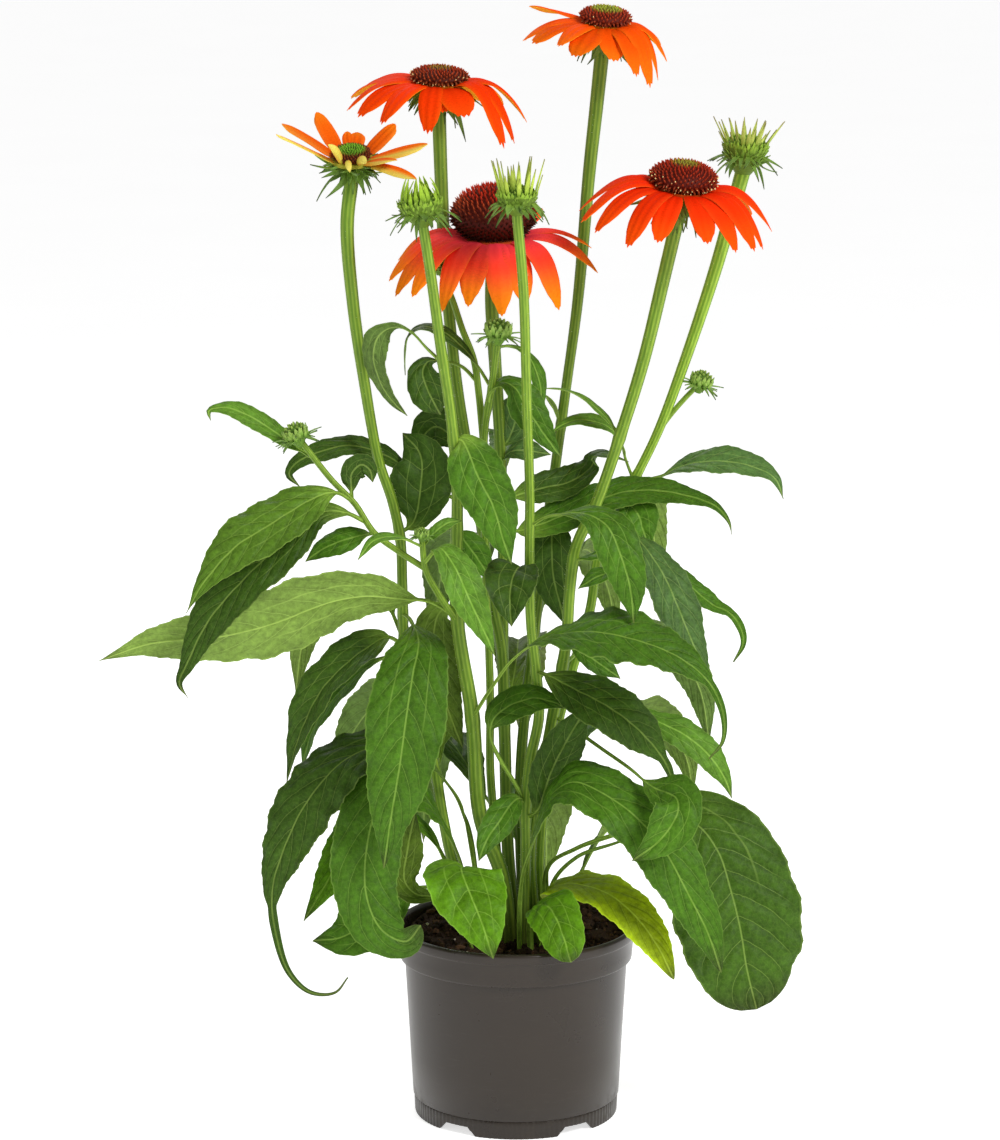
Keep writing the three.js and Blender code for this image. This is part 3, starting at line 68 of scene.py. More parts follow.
POT = SimpleNamespace(
    height=121,
    rim_radius=75,  # outside of the rolled lip
    lip_height=6,
    collar_radius=73.5,
    collar_height=21,
    body_top_radius=69.5,
    body_foot_radius=64.5,
    foot_radius=63.5,
    foot_height=11,
    wall=1.5,
    floor=7,  # height of the floor's underside
    pad=13,  # radius of the middle pad that reaches the ground
    feet=5,
    notch_height=5.5,  # between two feet
    flutes=120,
    flute_depth=0.3,
)
SOIL = SimpleNamespace(radius=68.2, front=106, back=118, mound=7)  # front and back are heights
STEM_DEPTH = 28  # how far the stems reach below the soil at the crown
PETIOLE_DEPTH = 22
CROWN = 108  # height of the soil at the crown
GAP = 0.3
HUB = 2.6  # height of the disc that holds the petals
NECK_RISE = 1.5  # how far a stem reaches into the cup of its head

STEMS, ROOT_LEAVES = {}, {}


class Stalk:
    """A stem, which starts at its foot in the soil, or a shoot, which leaves its parent at a height.
    All shoots of a stem, and the shoots on them, share one list."""

    def __init__(self, start, radii, path, bud=None, parent=None):
        self.start, self.radii, self.path, self.parent = start, radii, path, parent
        self.bud = bud  # axis and radius of a small bud at the end
        self.head = None
        self.leaves = []
        self.shoots = parent.shoots if parent else []

    def leaf(self, *shape, **more):
        self.leaves.append(leaf(*shape, **more))

    def shoot(self, height, radii, path, bud=None):
        self.shoots.append(Stalk(height, radii, path, bud, parent=self))
        return self.shoots[-1]


def stem(name, foot, radii, path, bud=None):
    STEMS[name] = Stalk(foot, radii, path, bud)
    return STEMS[name]


def leaf(tone, start, width, belly, petiole, fold, first_face, last_face, path, tip=1.1, tail=0):
    """A leaf that leaves its stalk at the height start, or the soil at the place start."""
    shape = dict(width=width, belly=belly, petiole=petiole, fold=fold, tip=tip, tail=tail)
    return dict(tone=tone, start=start, face=(first_face, last_face), path=path, **shape)


def root_leaf(name, *shape, **more):
    ROOT_LEAVES[name] = leaf(*shape, **more)


# Each stem has its foot at the soil, its radii from foot to neck and the points that it passes
# through. A leaf on it has its tone, the height where it starts, its width, the share of its blade
# where it is widest, the share of its length that is its stalk, the degrees that its halves fold
# up, the ways that it faces at its start and at its end, and the points of its midrib. With a
# higher tip it narrows sooner, and its tail is the share of its length that is a thin end.
# A head has the depth of the green cup under it. An open one has the height of its cone, the hub
# of its petals as a share of the cone's radius, and for each petal its azimuth, reach, drop, rise
# and, where it differs, its width. A young one has the number, length, spread and curl of its rays.

# the stem with the round green bud, in front of the others
button = stem("button", (-4, -4), (4.6, 4.4, 3.3, 3), [
    (-9, -6, 153), (-22, -8, 190), (-27, -14, 256), (-36, -20, 319), (-36, -30, 402), (-39, -36, 443),
    (-46, -43, 494), (-51, -49, 533),
])
button.leaf("mid", 319, 46, 0.42, 0.13, 6, (0, 1, 0.45), (0, 1, 0.35), [
    (-53, -28, 331), (-68, -34, 334), (-92, -40, 337), (-113, -44, 334), (-149, -48, 321),
    (-179, -50, 314), (-221, -52, 310), (-252, -54, 300),
], tip=1.2)
button.leaf("mid", 431, 34, 0.36, 0.05, 6, (0, -1, 0.35), FRONT, [
    (-33, -38, 432), (-23, -47, 411), (-14, -52, 394), (-8, -54, 374), (-3, -54, 359),
])
button.leaf("mid", 255, 46, 0.42, 0.3, 5, UP, (0.3, -1, 0.7), [
    (-16, -32, 277), (-1, -48, 301), (17, -60, 315), (44, -74, 322), (73, -82, 318), (97, -88, 309),
    (114, -90, 295), (123, -90, 276), (123, -89, 258), (115, -87, 247),
], tail=0.18)
button.leaf("mid", 374, 19, 0.45, 0.05, 10, TILTED, FRONT, [
    (-30, -16, 364), (-22, -12, 352), (-16, -9, 341),
])
button.leaf("olive", 326, 30, 0.4, 0.05, 8, FRONT, FRONT, [
    (-47, -12, 321), (-51, -8, 300), (-46, -6, 271), (-38, -6, 247), (-33, -6, 234),
])
button.leaf("dark", 479, 16, 0.5, 0.2, 4, UP, (0.8, 1, 0), [
    (-53, -34, 487), (-63, -31, 497), (-73, -28, 500), (-82, -26, 495), (-86, -24, 482),
    (-81, -22, 463), (-73, -20, 451), (-66, -19, 444),
])
shoot = button.shoot(316, (2.2, 1.8), [
    (-48, -34, 338), (-55, -46, 355), (-57, -52, 377),
], bud=((0, 0, 1), 4))
shoot.leaf("light", 359, 23, 0.4, 0.12, 12, UP, FRONT, [
    (-46, -60, 370), (-37, -68, 360), (-28, -74, 341), (-19, -77, 322), (-13, -78, 308),
])
shoot.leaf("light", 370, 9, 0.45, 0.1, 10, UP, TILTED, [
    (-71, -60, 377), (-85, -66, 376), (-95, -70, 365),
])
shoot.leaf("light", 370, 9, 0.45, 0.1, 10, TILTED, TILTED, [
    (-48, -50, 379), (-41, -46, 383), (-33, -44, 384),
])
twig = shoot.shoot(355, (1.9, 1.8), [
    (-70, -42, 364), (-86, -36, 375), (-98, -30, 392), (-112, -27, 406), (-133, -25, 433),
], bud=((-0.4, 0, 1), 7))
twig.leaf("warm", 393, 36, 0.4, 0.1, 3, TILTED, TILTED, [
    (-108, -38, 400), (-119, -44, 399), (-151, -64, 383), (-168, -72, 373), (-187, -80, 352),
    (-197, -82, 335),
], tip=1.5)
twig.leaf("dark", 381, 33, 0.42, 0.06, 5, TILTED, (-0.3, -1, 0.5), [
    (-104, -38, 388), (-120, -42, 388), (-136, -50, 376), (-166, -62, 349), (-185, -70, 327),
    (-198, -76, 301), (-202, -77, 291), (-197, -77, 282),
], tip=1.3)
twig.leaf("mid", 375, 17, 0.45, 0.08, 4, TILTED, TILTED, [
    (-95, -30, 372), (-107, -32, 369), (-118, -33, 364), (-128, -34, 357),
])
twig.leaf("light", 419, 14, 0.45, 0.1, 4, TILTED, TILTED, [
    (-134, -18, 425), (-147, -12, 433), (-162, -9, 442), (-177, -7, 447), (-187, -7, 445),
    (-186, -7, 439),
])
twig.leaf("dark", 394, 15, 0.5, 0.1, 12, FRONT, FRONT, [
    (-100, -26, 402), (-100, -25, 409), (-94, -25, 415), (-89, -25, 412), (-87, -25, 404),
])
button.head = dict(
    centre=(-57, -52, 575), axis=(-0.12, 0, 1), radius=13.6, cup=13,
    rays=15, ray_length=15, spread=0.25, curl=0.45,
    bracts=dict(count=16, length=8, lift=0.2, droop=-0.7, breadth=2),
)

# the half-open flower on the left
left = stem("left", (-14, 6), (3.4, 3.2, 3, 4.2), [
    (-18, 6, 117), (-38, 2, 155), (-45, 0, 186), (-52, 0, 228), (-63, 0, 263), (-69, 0, 301),
    (-70, -1, 336), (-71, -2, 364), (-76, -3, 389), (-84, -4, 414), (-93, -7, 467), (-99, -9, 513),
    (-102, -10, 559),
])
left.leaf("mid", 318, 47, 0.42, 0.18, 4, UP, FRONT, [
    (-64, -30, 319), (-59, -56, 311), (-62, -74, 297), (-66, -84, 272), (-70, -88, 243),
    (-75, -89, 213), (-80, -87, 179),
])
left.leaf("dark", 297, 32, 0.36, 0.1, 26, (0.2, -0.6, 1), (-1, -0.7, 0.2), [
    (-79, -6, 304), (-91, -12, 299), (-103, -18, 291), (-119, -24, 275), (-132, -28, 249),
    (-141, -30, 218),
])
left.leaf("mid", 291, 24, 0.5, 0.1, 14, UP, (-1, -0.6, 0.2), [
    (-81, 6, 289), (-93, 4, 282), (-109, 1, 268), (-123, -2, 250), (-130, -4, 232), (-132, -5, 220),
])
left.leaf("dark", 368, 38, 0.5, 0.08, 10, FRONT, FRONT, [
    (-63, 8, 374), (-59, 13, 393), (-59, 17, 414), (-70, 21, 427),
])
left.leaf("dark", 215, 34, 0.42, 0.12, 14, UP, BACK, [
    (-45, 35, 248), (-78, 68, 252), (-105, 88, 220), (-115, 92, 182),
])
left.leaf("mid", 300, 30, 0.42, 0.12, 14, UP, BACK, [
    (-85, 30, 325), (-110, 62, 322), (-134, 85, 286), (-141, 92, 246),
])
left.head = dict(
    centre=(-99, -10, 597), axis=(0, -0.34, 1), radius=11.4, cup=12,
    height=5.5, hub=1.1, petal_width=12,
    bracts=dict(count=14, length=14, lift=0.8, droop=-0.25, breadth=2.8),
    petals=[
        (-70, 47, -25, 34), (-104, 42, -22, 36), (-139, 37, -19, 44), (176, 25, -8, 34),
        (131, 35, -14, 34), (84, 46, -13, 20), (62, 46, 1, 6), (-8, 18, -1, 14, 8.5),
        (27, 23, -8, 36, 10), (53, 33, -9, 26), (-38, 22, -19, 58, 9), (-172, 24, -9, 40, 8),
    ],
)

# the tall flower, left of the middle
tall = stem("tall", (0, 9), (3.8, 3.6, 3.2, 4.2), [
    (-5, 10, 165), (-7, 12, 235), (-9, 13, 292), (-15, 14, 323), (-22, 17, 373), (-31, 22, 422),
    (-38, 30, 468), (-43, 37, 520), (-46, 40, 581),
])
tall.leaf("dark", 381, 16, 0.5, 0.25, 5, TILTED, TILTED, [
    (-47, 27, 389), (-64, 25, 401), (-81, 16, 414), (-102, 9, 421), (-120, 4, 418), (-134, 0, 412),
    (-139, -2, 405), (-132, -2, 397),
])
tall.leaf("dark", 413, 24, 0.5, 0.1, 8, FRONT, FRONT, [
    (-41, 27, 425), (-50, 32, 429), (-57, 35, 423), (-60, 36, 412),
])
tall.leaf("dark", 330, 32, 0.42, 0.12, 14, UP, BACK, [
    (-25, 60, 352), (-40, 95, 347), (-50, 125, 305), (-52, 135, 270),
])
tall.leaf("mid", 395, 22, 0.42, 0.12, 12, UP, BACK, [(-6, 58, 412), (-8, 92, 414), (-9, 118, 380)])
tall.leaf("dark", 180, 36, 0.42, 0.12, 14, UP, BACK, [
    (-22, 24, 200), (-38, 52, 220), (-50, 84, 222), (-58, 112, 182), (-60, 120, 140),
])
tall.head = dict(
    centre=(-47, 40, 638), axis=(0.04, -0.12, 1), radius=17.5, cup=12,
    height=8.5, hub=0.8, petal_width=17,
    bracts=dict(count=8, length=11, lift=-0.1, droop=-0.35, breadth=3.2),
    petals=[
        (-107, 56, 12.8, 15), (-88, 56, 16.6, 19), (-66, 52, 17.3, 17), (-45, 49, 17.7, 14),
        (-124, 55, 8.5, 16), (-12, 35, 22.7, 12, 15), (25, 37, 11.8, 14, 21), (61, 47, 32.1, 34, 17.5),
        (79, 48, 31.7, 30), (100, 55, 22, 24), (128, 50, 17.5, 14), (154, 49, 18.1, 10),
        (178, 50, 19.8, 7), (-156, 50, 18.3, 10), (4, 30, 10.2, 7, 14),
    ],
)

# the big flower in the middle
centre = stem("centre", (-1, 21), (3.6, 3.4, 3.2, 4.2), [
    (-5, 22, 161), (-7, 22, 232), (-8, 21, 290), (-8, 18, 348), (-10, 14, 424), (-13, 13, 473),
    (-15, 14, 510),
])
centre.leaf("mid", 367, 25, 0.3, 0.06, 6, TILTED, TILTED, [
    (2, 14, 367), (18, 14, 372), (39, 13, 381), (64, 12, 391), (85, 9, 393), (107, 4, 390),
    (122, -1, 385), (130, -4, 376), (132, -5, 368),
], tip=1.2)
centre.leaf("dark", 384, 22, 0.4, 0.08, 12, FRONT, UP, [
    (2, 18, 389), (18, 20, 393), (33, 22, 396), (46, 22, 405), (50, 20, 413), (59, 14, 413),
    (69, 10, 411),
])
centre.leaf("blue", 418, 24, 0.5, 0.08, 10, FRONT, FRONT, [
    (-5, 12, 424), (0, 16, 436), (5, 18, 448), (10, 18, 455),
])
centre.leaf("blue", 410, 14, 0.5, 0.08, 10, TILTED, TILTED, [
    (-3, 5, 418), (5, 3, 419), (14, 1, 418), (21, 0, 417),
])
centre.leaf("olive", 240, 36, 0.42, 0.12, 14, UP, BACK, [
    (0, 60, 272), (2, 100, 280), (5, 135, 248), (5, 148, 200),
])
centre.head = dict(
    centre=(-14, 14, 547), axis=(0, -0.12, 1), radius=25, cup=12,
    height=30, hub=0.8, petal_width=18,
    bracts=dict(count=8, length=11, lift=-0.1, droop=-0.5),
    petals=[
        (-83, 64, 23.9, 24), (-69, 63, 30.1, 23), (-55, 61, 26.6, 20), (-35, 52, 34.7, 14),
        (-17, 49, 30.2, 12), (5, 47, 36.2, 9), (23, 46, 31.7, 12), (47, 55, 34.3, 18),
        (79, 64, 18.4, 26), (99, 61, 8, 24, 15), (133, 42, -12.7, 33, 11), (158, 55, 21.9, 12),
        (-178, 56, 21.5, 9), (-157, 54, 20.8, 12), (-129, 32, 21.2, 14, 12.5), (-102, 60, 16.3, 23, 15),
    ],
)

# the bud with upright young rays
spiky = stem("spiky", (5, -7), (3.4, 3.2, 2.8, 3), [
    (6, -8, 169), (6, -10, 202), (9, -12, 229), (14, -14, 256), (12, -17, 287), (9, -20, 315),
    (8, -24, 349), (8, -31, 397), (6, -40, 462), (4, -47, 524),
])
spiky.leaf("mid", 378, 27, 0.5, 0.2, 6, UP, FRONT, [
    (17, -36, 385), (26, -44, 388), (41, -54, 390), (54, -62, 384), (63, -70, 365), (68, -73, 347),
    (70, -74, 327),
])
spiky.leaf("dark", 345, 35, 0.42, 0.1, 24, UP, TILTED, [
    (2, -32, 353), (-3, -48, 347), (-4, -60, 335), (-3, -64, 323),
])
spiky.leaf("dark", 285, 34, 0.45, 0.08, 2, TILTED, (0, -1, 0.7), [
    (19, -28, 285), (36, -37, 278), (51, -45, 272), (66, -50, 263), (79, -51, 251), (89, -50, 238),
    (94, -48, 227), (95, -46, 215),
], tail=0.14)
spiky.leaf("mid", 200, 23, 0.45, 0.5, 3, TILTED, TILTED, [
    (-1, -18, 215), (-10, -23, 231), (-16, -26, 246), (-14, -28, 257), (-6, -29, 265), (11, -30, 271),
    (24, -31, 268), (30, -32, 265),
])
spiky.leaf("dark", 190, 27, 0.5, 0.1, 4, FRONT, FRONT, [
    (13, -20, 198), (22, -25, 225), (36, -28, 253), (45, -28, 266),
])
spiky.leaf("mid", 200, 20, 0.45, 0.12, 10, TILTED, FRONT, [
    (2, -18, 205), (-3, -24, 203), (-10, -34, 195), (-18, -42, 185), (-23, -48, 173),
])
spiky.head = dict(
    centre=(0, -52, 580), axis=(0, 0, 1), radius=12.5, cup=11,
    rays=15, ray_length=22, spread=0.32, curl=0,
    bracts=dict(count=13, length=9, lift=0, droop=-0.9, breadth=2.4),
)

# the highest flower
top = stem("top", (6, 16), (3.4, 3.2, 3, 4.4), [
    (3, 18, 162), (3, 20, 214), (7, 24, 264), (14, 28, 320), (20, 32, 370), (25, 35, 408),
    (31, 38, 453), (38, 42, 506), (45, 48, 586), (49, 51, 623),
])
top.leaf("dark", 378, 27, 0.42, 0.05, 3, FRONT, FRONT, [
    (22, 25, 370), (22, 19, 357), (23, 17, 338), (27, 17, 321), (31, 17, 306),
])
top.leaf("light", 430, 8, 0.45, 0.1, 8, UP, UP, [(22, 34, 443), (17, 32, 449), (12, 31, 447)])
top.leaf("mid", 300, 32, 0.42, 0.12, 14, UP, BACK, [
    (25, 70, 330), (45, 105, 338), (60, 140, 305), (66, 152, 270),
])
top.head = dict(
    centre=(54, 52, 673), axis=(0.09, -0.15, 1), radius=15.5, cup=11,
    height=9, hub=0.8, petal_width=15.5,
    bracts=dict(count=9, length=10, lift=-0.1, droop=-0.45, breadth=3.2),
    petals=[
        (-94, 49, 13.1, 17), (-113, 50, -4.9, 11, 11), (-72, 46, 10.8, 14), (-48, 40, 8.1, 12),
        (-24, 42, 11.6, 4, 19), (8, 36, 13, 4, 17), (29, 42, 20.8, 12), (51, 39, 29.4, 20),
        (78, 36, 28.6, 25, 13), (97, 40, 18.2, 21), (122, 42, 13.5, 15), (150, 42, 13.3, 10),
        (178, 42, 14.1, 7), (-160, 42, 13.7, 8), (-136, 40, 9.3, 9),
    ],
)

# the flower on the right
right = stem("right", (13, 1), (3.6, 3.4, 3.4, 4.2), [
    (9, 0, 167), (20, 2, 237), (26, 2, 269), (31, 1, 301), (33, -1, 333), (37, -4, 361), (49, -7, 388),
    (64, -10, 433), (77, -13, 477), (89, -16, 529),
])
right.leaf("light", 429, 9, 0.45, 0.1, 10, UP, UP, [
    (58, -4, 436), (49, 2, 445), (33, 6, 455), (17, 8, 457),
])
right.leaf("mid", 352, 15, 0.45, 0.1, 10, UP, TILTED, [(43, -10, 355), (52, -16, 359), (62, -20, 360)])
right.leaf("mid", 301, 16, 0.45, 0.1, 10, TILTED, TILTED, [
    (37, -5, 298), (49, -11, 290), (64, -15, 280),
])
right.leaf("mid", 253, 30, 0.5, 0.5, 16, UP, FRONT, [
    (36, -7, 246), (51, -25, 239), (69, -47, 231), (82, -68, 225), (96, -86, 222), (96, -95, 215),
    (86, -98, 200), (69, -99, 187),
])
right.leaf("light", 262, 20, 0.5, 0.35, 3, TILTED, (0.3, -1, 0.6), [
    (52, -8, 271), (85, -24, 256), (103, -30, 248), (117, -34, 237), (127, -36, 223), (132, -38, 210),
])
right.leaf("dark", 285, 30, 0.42, 0.12, 14, UP, BACK, [
    (58, 25, 302), (92, 50, 292), (116, 70, 256), (124, 78, 215),
])
right.head = dict(
    centre=(99, -18, 579), axis=(0.105, -0.14, 1), radius=20, cup=12,
    height=15.5, hub=0.8, petal_width=15,
    bracts=dict(count=8, length=11, lift=-0.1, droop=-0.5),
    petals=[
        (-93, 60, 18.3, 38), (-78, 60, 21.1, 30), (-61, 58, 22.9, 21), (-37, 54, 25.8, 12),
        (-17, 49, 20.3, 5), (18, 48, 18.4, 5), (37, 53, 22.9, 12), (55, 55, 23.4, 21),
        (71, 54, 25.4, 30), (92, 57, 19.1, 32), (115, 50, 14.8, 26), (160, 46, 17.9, 11),
        (-175, 46, 18.2, 9), (-150, 47, 17.5, 14), (-117, 52, 15.1, 32),
    ],
)

# the opening bud at the far right
fan = stem("fan", (17, 11), (3.2, 3, 2.8, 4.6), [
    (15, 14, 163), (24, 19, 233), (35, 22, 277), (46, 24, 315), (53, 24, 360), (74, 24, 399),
    (88, 26, 428), (104, 29, 471), (122, 32, 526), (132, 33, 562),
])
fan.leaf("light", 397, 12, 0.45, 0.2, 10, UP, TILTED, [
    (68, 22, 410), (64, 19, 423), (55, 17, 432), (39, 15, 436), (28, 13, 433), (21, 12, 428),
])
fan.leaf("soft", 395, 22, 0.5, 0.15, 12, (0, -1, 1.2), (0, -1, 1.5), [
    (89, 20, 400), (101, 14, 407), (114, 8, 411), (131, 2, 412), (147, -4, 409), (158, -8, 403),
    (163, -10, 391),
], tip=1.4)
fan.leaf("mid", 384, 24, 0.45, 0.05, 12, TILTED, FRONT, [
    (69, 14, 384), (75, 8, 378), (78, 4, 369), (82, 2, 358),
])
fan.leaf("blue", 369, 29, 0.45, 0.12, 3, UP, (0.3, -1, 0.3), [
    (69, 8, 368), (79, -6, 360), (90, -18, 345), (98, -26, 328), (106, -32, 309), (113, -36, 293),
    (118, -38, 278),
], tip=1.3)
fan.leaf("mid", 358, 18, 0.5, 0.1, 12, UP, TILTED, [
    (77, 18, 350), (92, 14, 343), (107, 10, 333), (121, 6, 322), (132, 3, 317), (139, 0, 307),
    (140, 0, 298), (134, 0, 287),
], tip=1.2, tail=0.2)
fan.leaf("mid", 340, 15, 0.45, 0.1, 10, UP, TILTED, [(60, 12, 342), (50, 4, 340), (38, -3, 334)])
fan.leaf("mid", 200, 34, 0.42, 0.12, 14, UP, BACK, [
    (45, 55, 230), (80, 88, 234), (108, 108, 205), (116, 114, 172),
])
fan.leaf("mid", 360, 24, 0.42, 0.12, 14, UP, BACK, [
    (66, 50, 382), (80, 75, 378), (88, 95, 346), (90, 100, 310),
])
fan.shoot(427, (1.6, 1.6), [(96, 28, 438), (105, 30, 448), (114, 31, 457)], bud=((0.3, 0, 1), 6.5))
fan.head = dict(
    centre=(140, 34, 601), axis=(0.1, 0, 1), radius=14, cup=16,
    rays=16, ray_length=19, spread=0.7, curl=0,
    bracts=dict(count=15, length=10, lift=0.1, droop=-0.4, breadth=2.2),
)

# the thin stem with a small bud
small = stem("small", (-9, 15), (2.8, 2.5, 2.2, 2.2), [
    (-12, 12, 164), (-16, 5, 217), (-16, 1, 263), (-17, -1, 301), (-19, -6, 352), (-20, -10, 403),
    (-19, -14, 437), (-15, -19, 461), (-11, -26, 496),
], bud=((0, 0, 1), 7.5))
small.leaf("dark", 461, 12, 0.5, 0.15, 2, UP, LEFT, [
    (-26, -12, 477), (-37, -7, 488), (-46, -5, 494), (-59, -3, 496), (-66, -1, 490), (-68, 0, 478),
    (-68, -1, 466),
])
small.leaf("mid", 449, 22, 0.42, 0.15, 12, UP, FRONT, [
    (-15, -22, 460), (-8, -24, 465), (-1, -26, 462), (6, -27, 450), (14, -28, 438), (21, -28, 428),
    (27, -28, 420),
])
small.leaf("mid", 487, 12, 0.5, 0.1, 3, UP, (1, -1, 0), [
    (-4, -14, 486), (5, -13, 482), (12, -13, 470), (15, -14, 456), (14, -14, 441),
])
shoot = small.shoot(424, (2.2, 1.8), [
    (-23, -2, 456), (-26, 4, 475), (-33, 8, 493), (-39, 10, 511), (-47, 12, 530),
], bud=((0, 0, 1), 4))
shoot.leaf("dark", 462, 24, 0.62, 0.35, 10, UP, FRONT, [
    (-34, 5, 471), (-45, 3, 474), (-54, 0, 474), (-57, -4, 468), (-53, -8, 456), (-46, -10, 443),
])

# Leaves that rise from the crown on their own stalks.
root_leaf("front_right", "mid", (2, -15), 40, 0.45, 0.3, 4, UP, (0.2, -1, 0.4), [
    (3, -22, 154), (8, -28, 175), (16, -35, 199), (24, -42, 216), (36, -49, 223), (51, -58, 219),
    (69, -68, 209), (87, -76, 191), (104, -82, 161), (116, -84, 137), (124, -84, 113),
], tip=0.8)
root_leaf("far_right", "deep", (23, -1), 80, 0.55, 0.5, 5, UP, (0.3, -1, 0.2), [
    (20, 2, 156), (37, 0, 168), (58, -4, 177), (83, -8, 185), (109, -16, 189), (124, -26, 174),
    (132, -34, 151), (138, -41, 127), (142, -46, 103), (148, -49, 79),
], tip=0.5)
root_leaf("right_back", "mid", (26, 7), 20, 0.5, 0.6, 10, UP, TILTED, [
    (23, 14, 141), (38, 16, 158), (66, 16, 169), (87, 14, 182), (102, 12, 192), (113, 9, 193),
    (119, 8, 184),
])
root_leaf("pale_right", "yellow", (15, -12), 31, 0.45, 0.16, 5, UP, TILTED, [
    (22, -15, 146), (28, -22, 151), (35, -30, 154), (56, -46, 152), (74, -60, 140), (87, -68, 123),
    (96, -72, 105),
], tip=0.75)
root_leaf("pale_front", "fresh", (9, -19), 31, 0.5, 0.45, 3, UP, FRONT, [
    (9, -31, 135), (15, -46, 145), (21, -60, 146), (27, -73, 137), (33, -85, 120),
], tip=0.5)
root_leaf("heart", "fresh", (-13, -13), 48, 0.3, 0.55, 3, UP, (0, -1, 0.5), [
    (-17, -27, 143), (-25, -38, 159), (-33, -49, 169), (-33, -61, 169), (-28, -73, 159),
    (-21, -83, 144), (-14, -91, 124),
], tip=0.95)
root_leaf("front_left", "mid", (-24, -8), 42, 0.55, 0.3, 4, UP, FRONT, [
    (-35, -13, 166), (-46, -22, 191), (-57, -34, 211), (-70, -46, 220), (-84, -58, 210),
    (-91, -66, 185), (-91, -72, 158), (-82, -76, 138), (-67, -78, 131), (-58, -78, 141),
], tip=0.6)
root_leaf("far_left", "dark", (-22, -5), 43, 0.5, 0.32, 3, UP, (-0.5, -1, 0.2), [
    (-26, -2, 160), (-32, 0, 190), (-41, -9, 211), (-62, -22, 235), (-83, -30, 241), (-105, -38, 234),
    (-127, -46, 211), (-140, -51, 186), (-149, -54, 156), (-147, -56, 130), (-139, -60, 106),
    (-126, -62, 94), (-111, -63, 94), (-103, -64, 104),
], tip=1.1, tail=0.2)
root_leaf("folded_left", "olive", (-27, -16), 20, 0.55, 0.4, 4, UP, FRONT, [
    (-47, -22, 141), (-63, -24, 146), (-69, -28, 156), (-67, -30, 175), (-62, -32, 201),
])
root_leaf("left_back", "fresh", (-29, 12), 28, 0.5, 0.35, 4, UP, (-0.4, -1, 0.3), [
    (-44, 14, 156), (-55, 12, 176), (-69, 4, 189), (-86, -10, 195), (-103, -22, 179), (-116, -31, 156),
    (-131, -38, 132),
])
root_leaf("low_left", "mid", (-28, -2), 38, 0.45, 0.5, 2, UP, (-0.3, -1, 0.6), [
    (-43, -6, 141), (-62, -3, 144), (-77, -3, 135), (-94, -5, 121), (-109, -8, 113), (-127, -9, 111),
])
root_leaf("back", "mid", (4, 33), 44, 0.45, 0.3, 12, UP, BACK, [
    (8, 62, 170), (15, 98, 188), (20, 125, 150), (20, 134, 112),
])
root_leaf("back_right", "mid", (27, 20), 42, 0.45, 0.3, 12, UP, BACK, [
    (58, 48, 168), (88, 72, 166), (108, 84, 122), (110, 85, 92),
])

# ---- numbers, curves and frames ----


def draws(seed):
    """Seeded numbers from 0 to 1, the same ones that the model's source draws."""
    state = seed

    def draw():
        nonlocal state
        state = (state + 0x6D2B79F5) & 0xFFFFFFFF
        t = ((state ^ state >> 15) * (1 | state)) & 0xFFFFFFFF
        t = ((t + ((t ^ t >> 7) * (61 | t))) & 0xFFFFFFFF) ^ t
        return (t ^ t >> 14) / 4294967296

    return draw


def unit(v):
    v = np.asarray(v, float)
    return v / np.maximum(np.linalg.norm(v, axis=-1, keepdims=True), 1e-9)


def lerp(a, b, t):
    return a + (b - a) * t


def smooth(x, low, high):
    t = np.clip((x - low) / (high - low), 0, 1)
    return t * t * (3 - 2 * t)


def rgb(text):
    """Linear colour of six hexadecimal digits."""
    c = np.array([int(text[i : i + 2], 16) for i in (0, 2, 4)]) / 255
    return np.where(c <= 0.04045, c / 12.92, ((c + 0.055) / 1.055) ** 2.4)


class Curve:
    """A centripetal Catmull-Rom curve through points, read by the share of its length."""

    STEPS = 20

    def __init__(self, points):
        p = np.array(points, float)
        p = np.vstack([2 * p[0] - p[1], p, 2 * p[-1] - p[-2]])
        spans = [self.span(*p[i : i + 4]) for i in range(len(p) - 3)]
        self.points = np.vstack([*spans, p[-2]])
        steps = np.linalg.norm(np.diff(self.points, axis=0), axis=1)
        self.length = steps.sum()
        self.shares = np.r_[0, np.cumsum(steps)] / self.length

    def span(self, a, b, c, d):
        before, within, after = (np.linalg.norm(q - p) ** 0.5 for p, q in ((a, b), (b, c), (c, d)))
        out = (b - a) / before - (c - a) / (before + within) + (c - b) / within
        into = (c - b) / within - (d - b) / (within + after) + (d - c) / after
        out, into = out * within, into * within
        t = np.linspace(0, 1, self.STEPS, endpoint=False)[:, None]
        return b + out * t + (3 * (c - b) - 2 * out - into) * t**2 + (2 * (b - c) + out + into) * t**3

    def at(self, share):
        return np.stack([np.interp(share, self.shares, self.points[:, i]) for i in range(3)], -1)

    def along(self, share):
        share = np.asarray(share, float)
        return unit(self.at(np.minimum(share + 0.006, 1)) - self.at(np.maximum(share - 0.006, 0)))

    def share_at_height(self, height):
        low, high = 0.0, 1.0
        for _ in range(30):
            middle = (low + high) / 2
            low, high = (middle, high) if self.at(middle)[2] < height else (low, middle)
        return low


class Head:
    """The frame of a flower head. Azimuth 0 points to the front, 90 to the right."""

    def __init__(self, centre, axis):
        self.centre = np.array(centre, float)
        self.up = unit(axis)
        self.right = unit(np.array(RIGHT, float) - self.up * self.up[0])
        self.back = np.cross(self.up, self.right)

    def out(self, azimuth):
        a = np.radians(np.asarray(azimuth, float))[..., None]
        return self.right * np.sin(a) - self.back * np.cos(a)

    def place(self, azimuth, r, h):
        r, h = np.asarray(r, float)[..., None], np.asarray(h, float)[..., None]
        return self.centre + self.out(azimuth) * r + self.up * h


def underground(foot, depth):
    """The first points of what stands in the soil, straight up from its lower end."""
    x, y = foot
    return [(x, y, CROWN + z) for z in (1 - depth, -10, 1)]


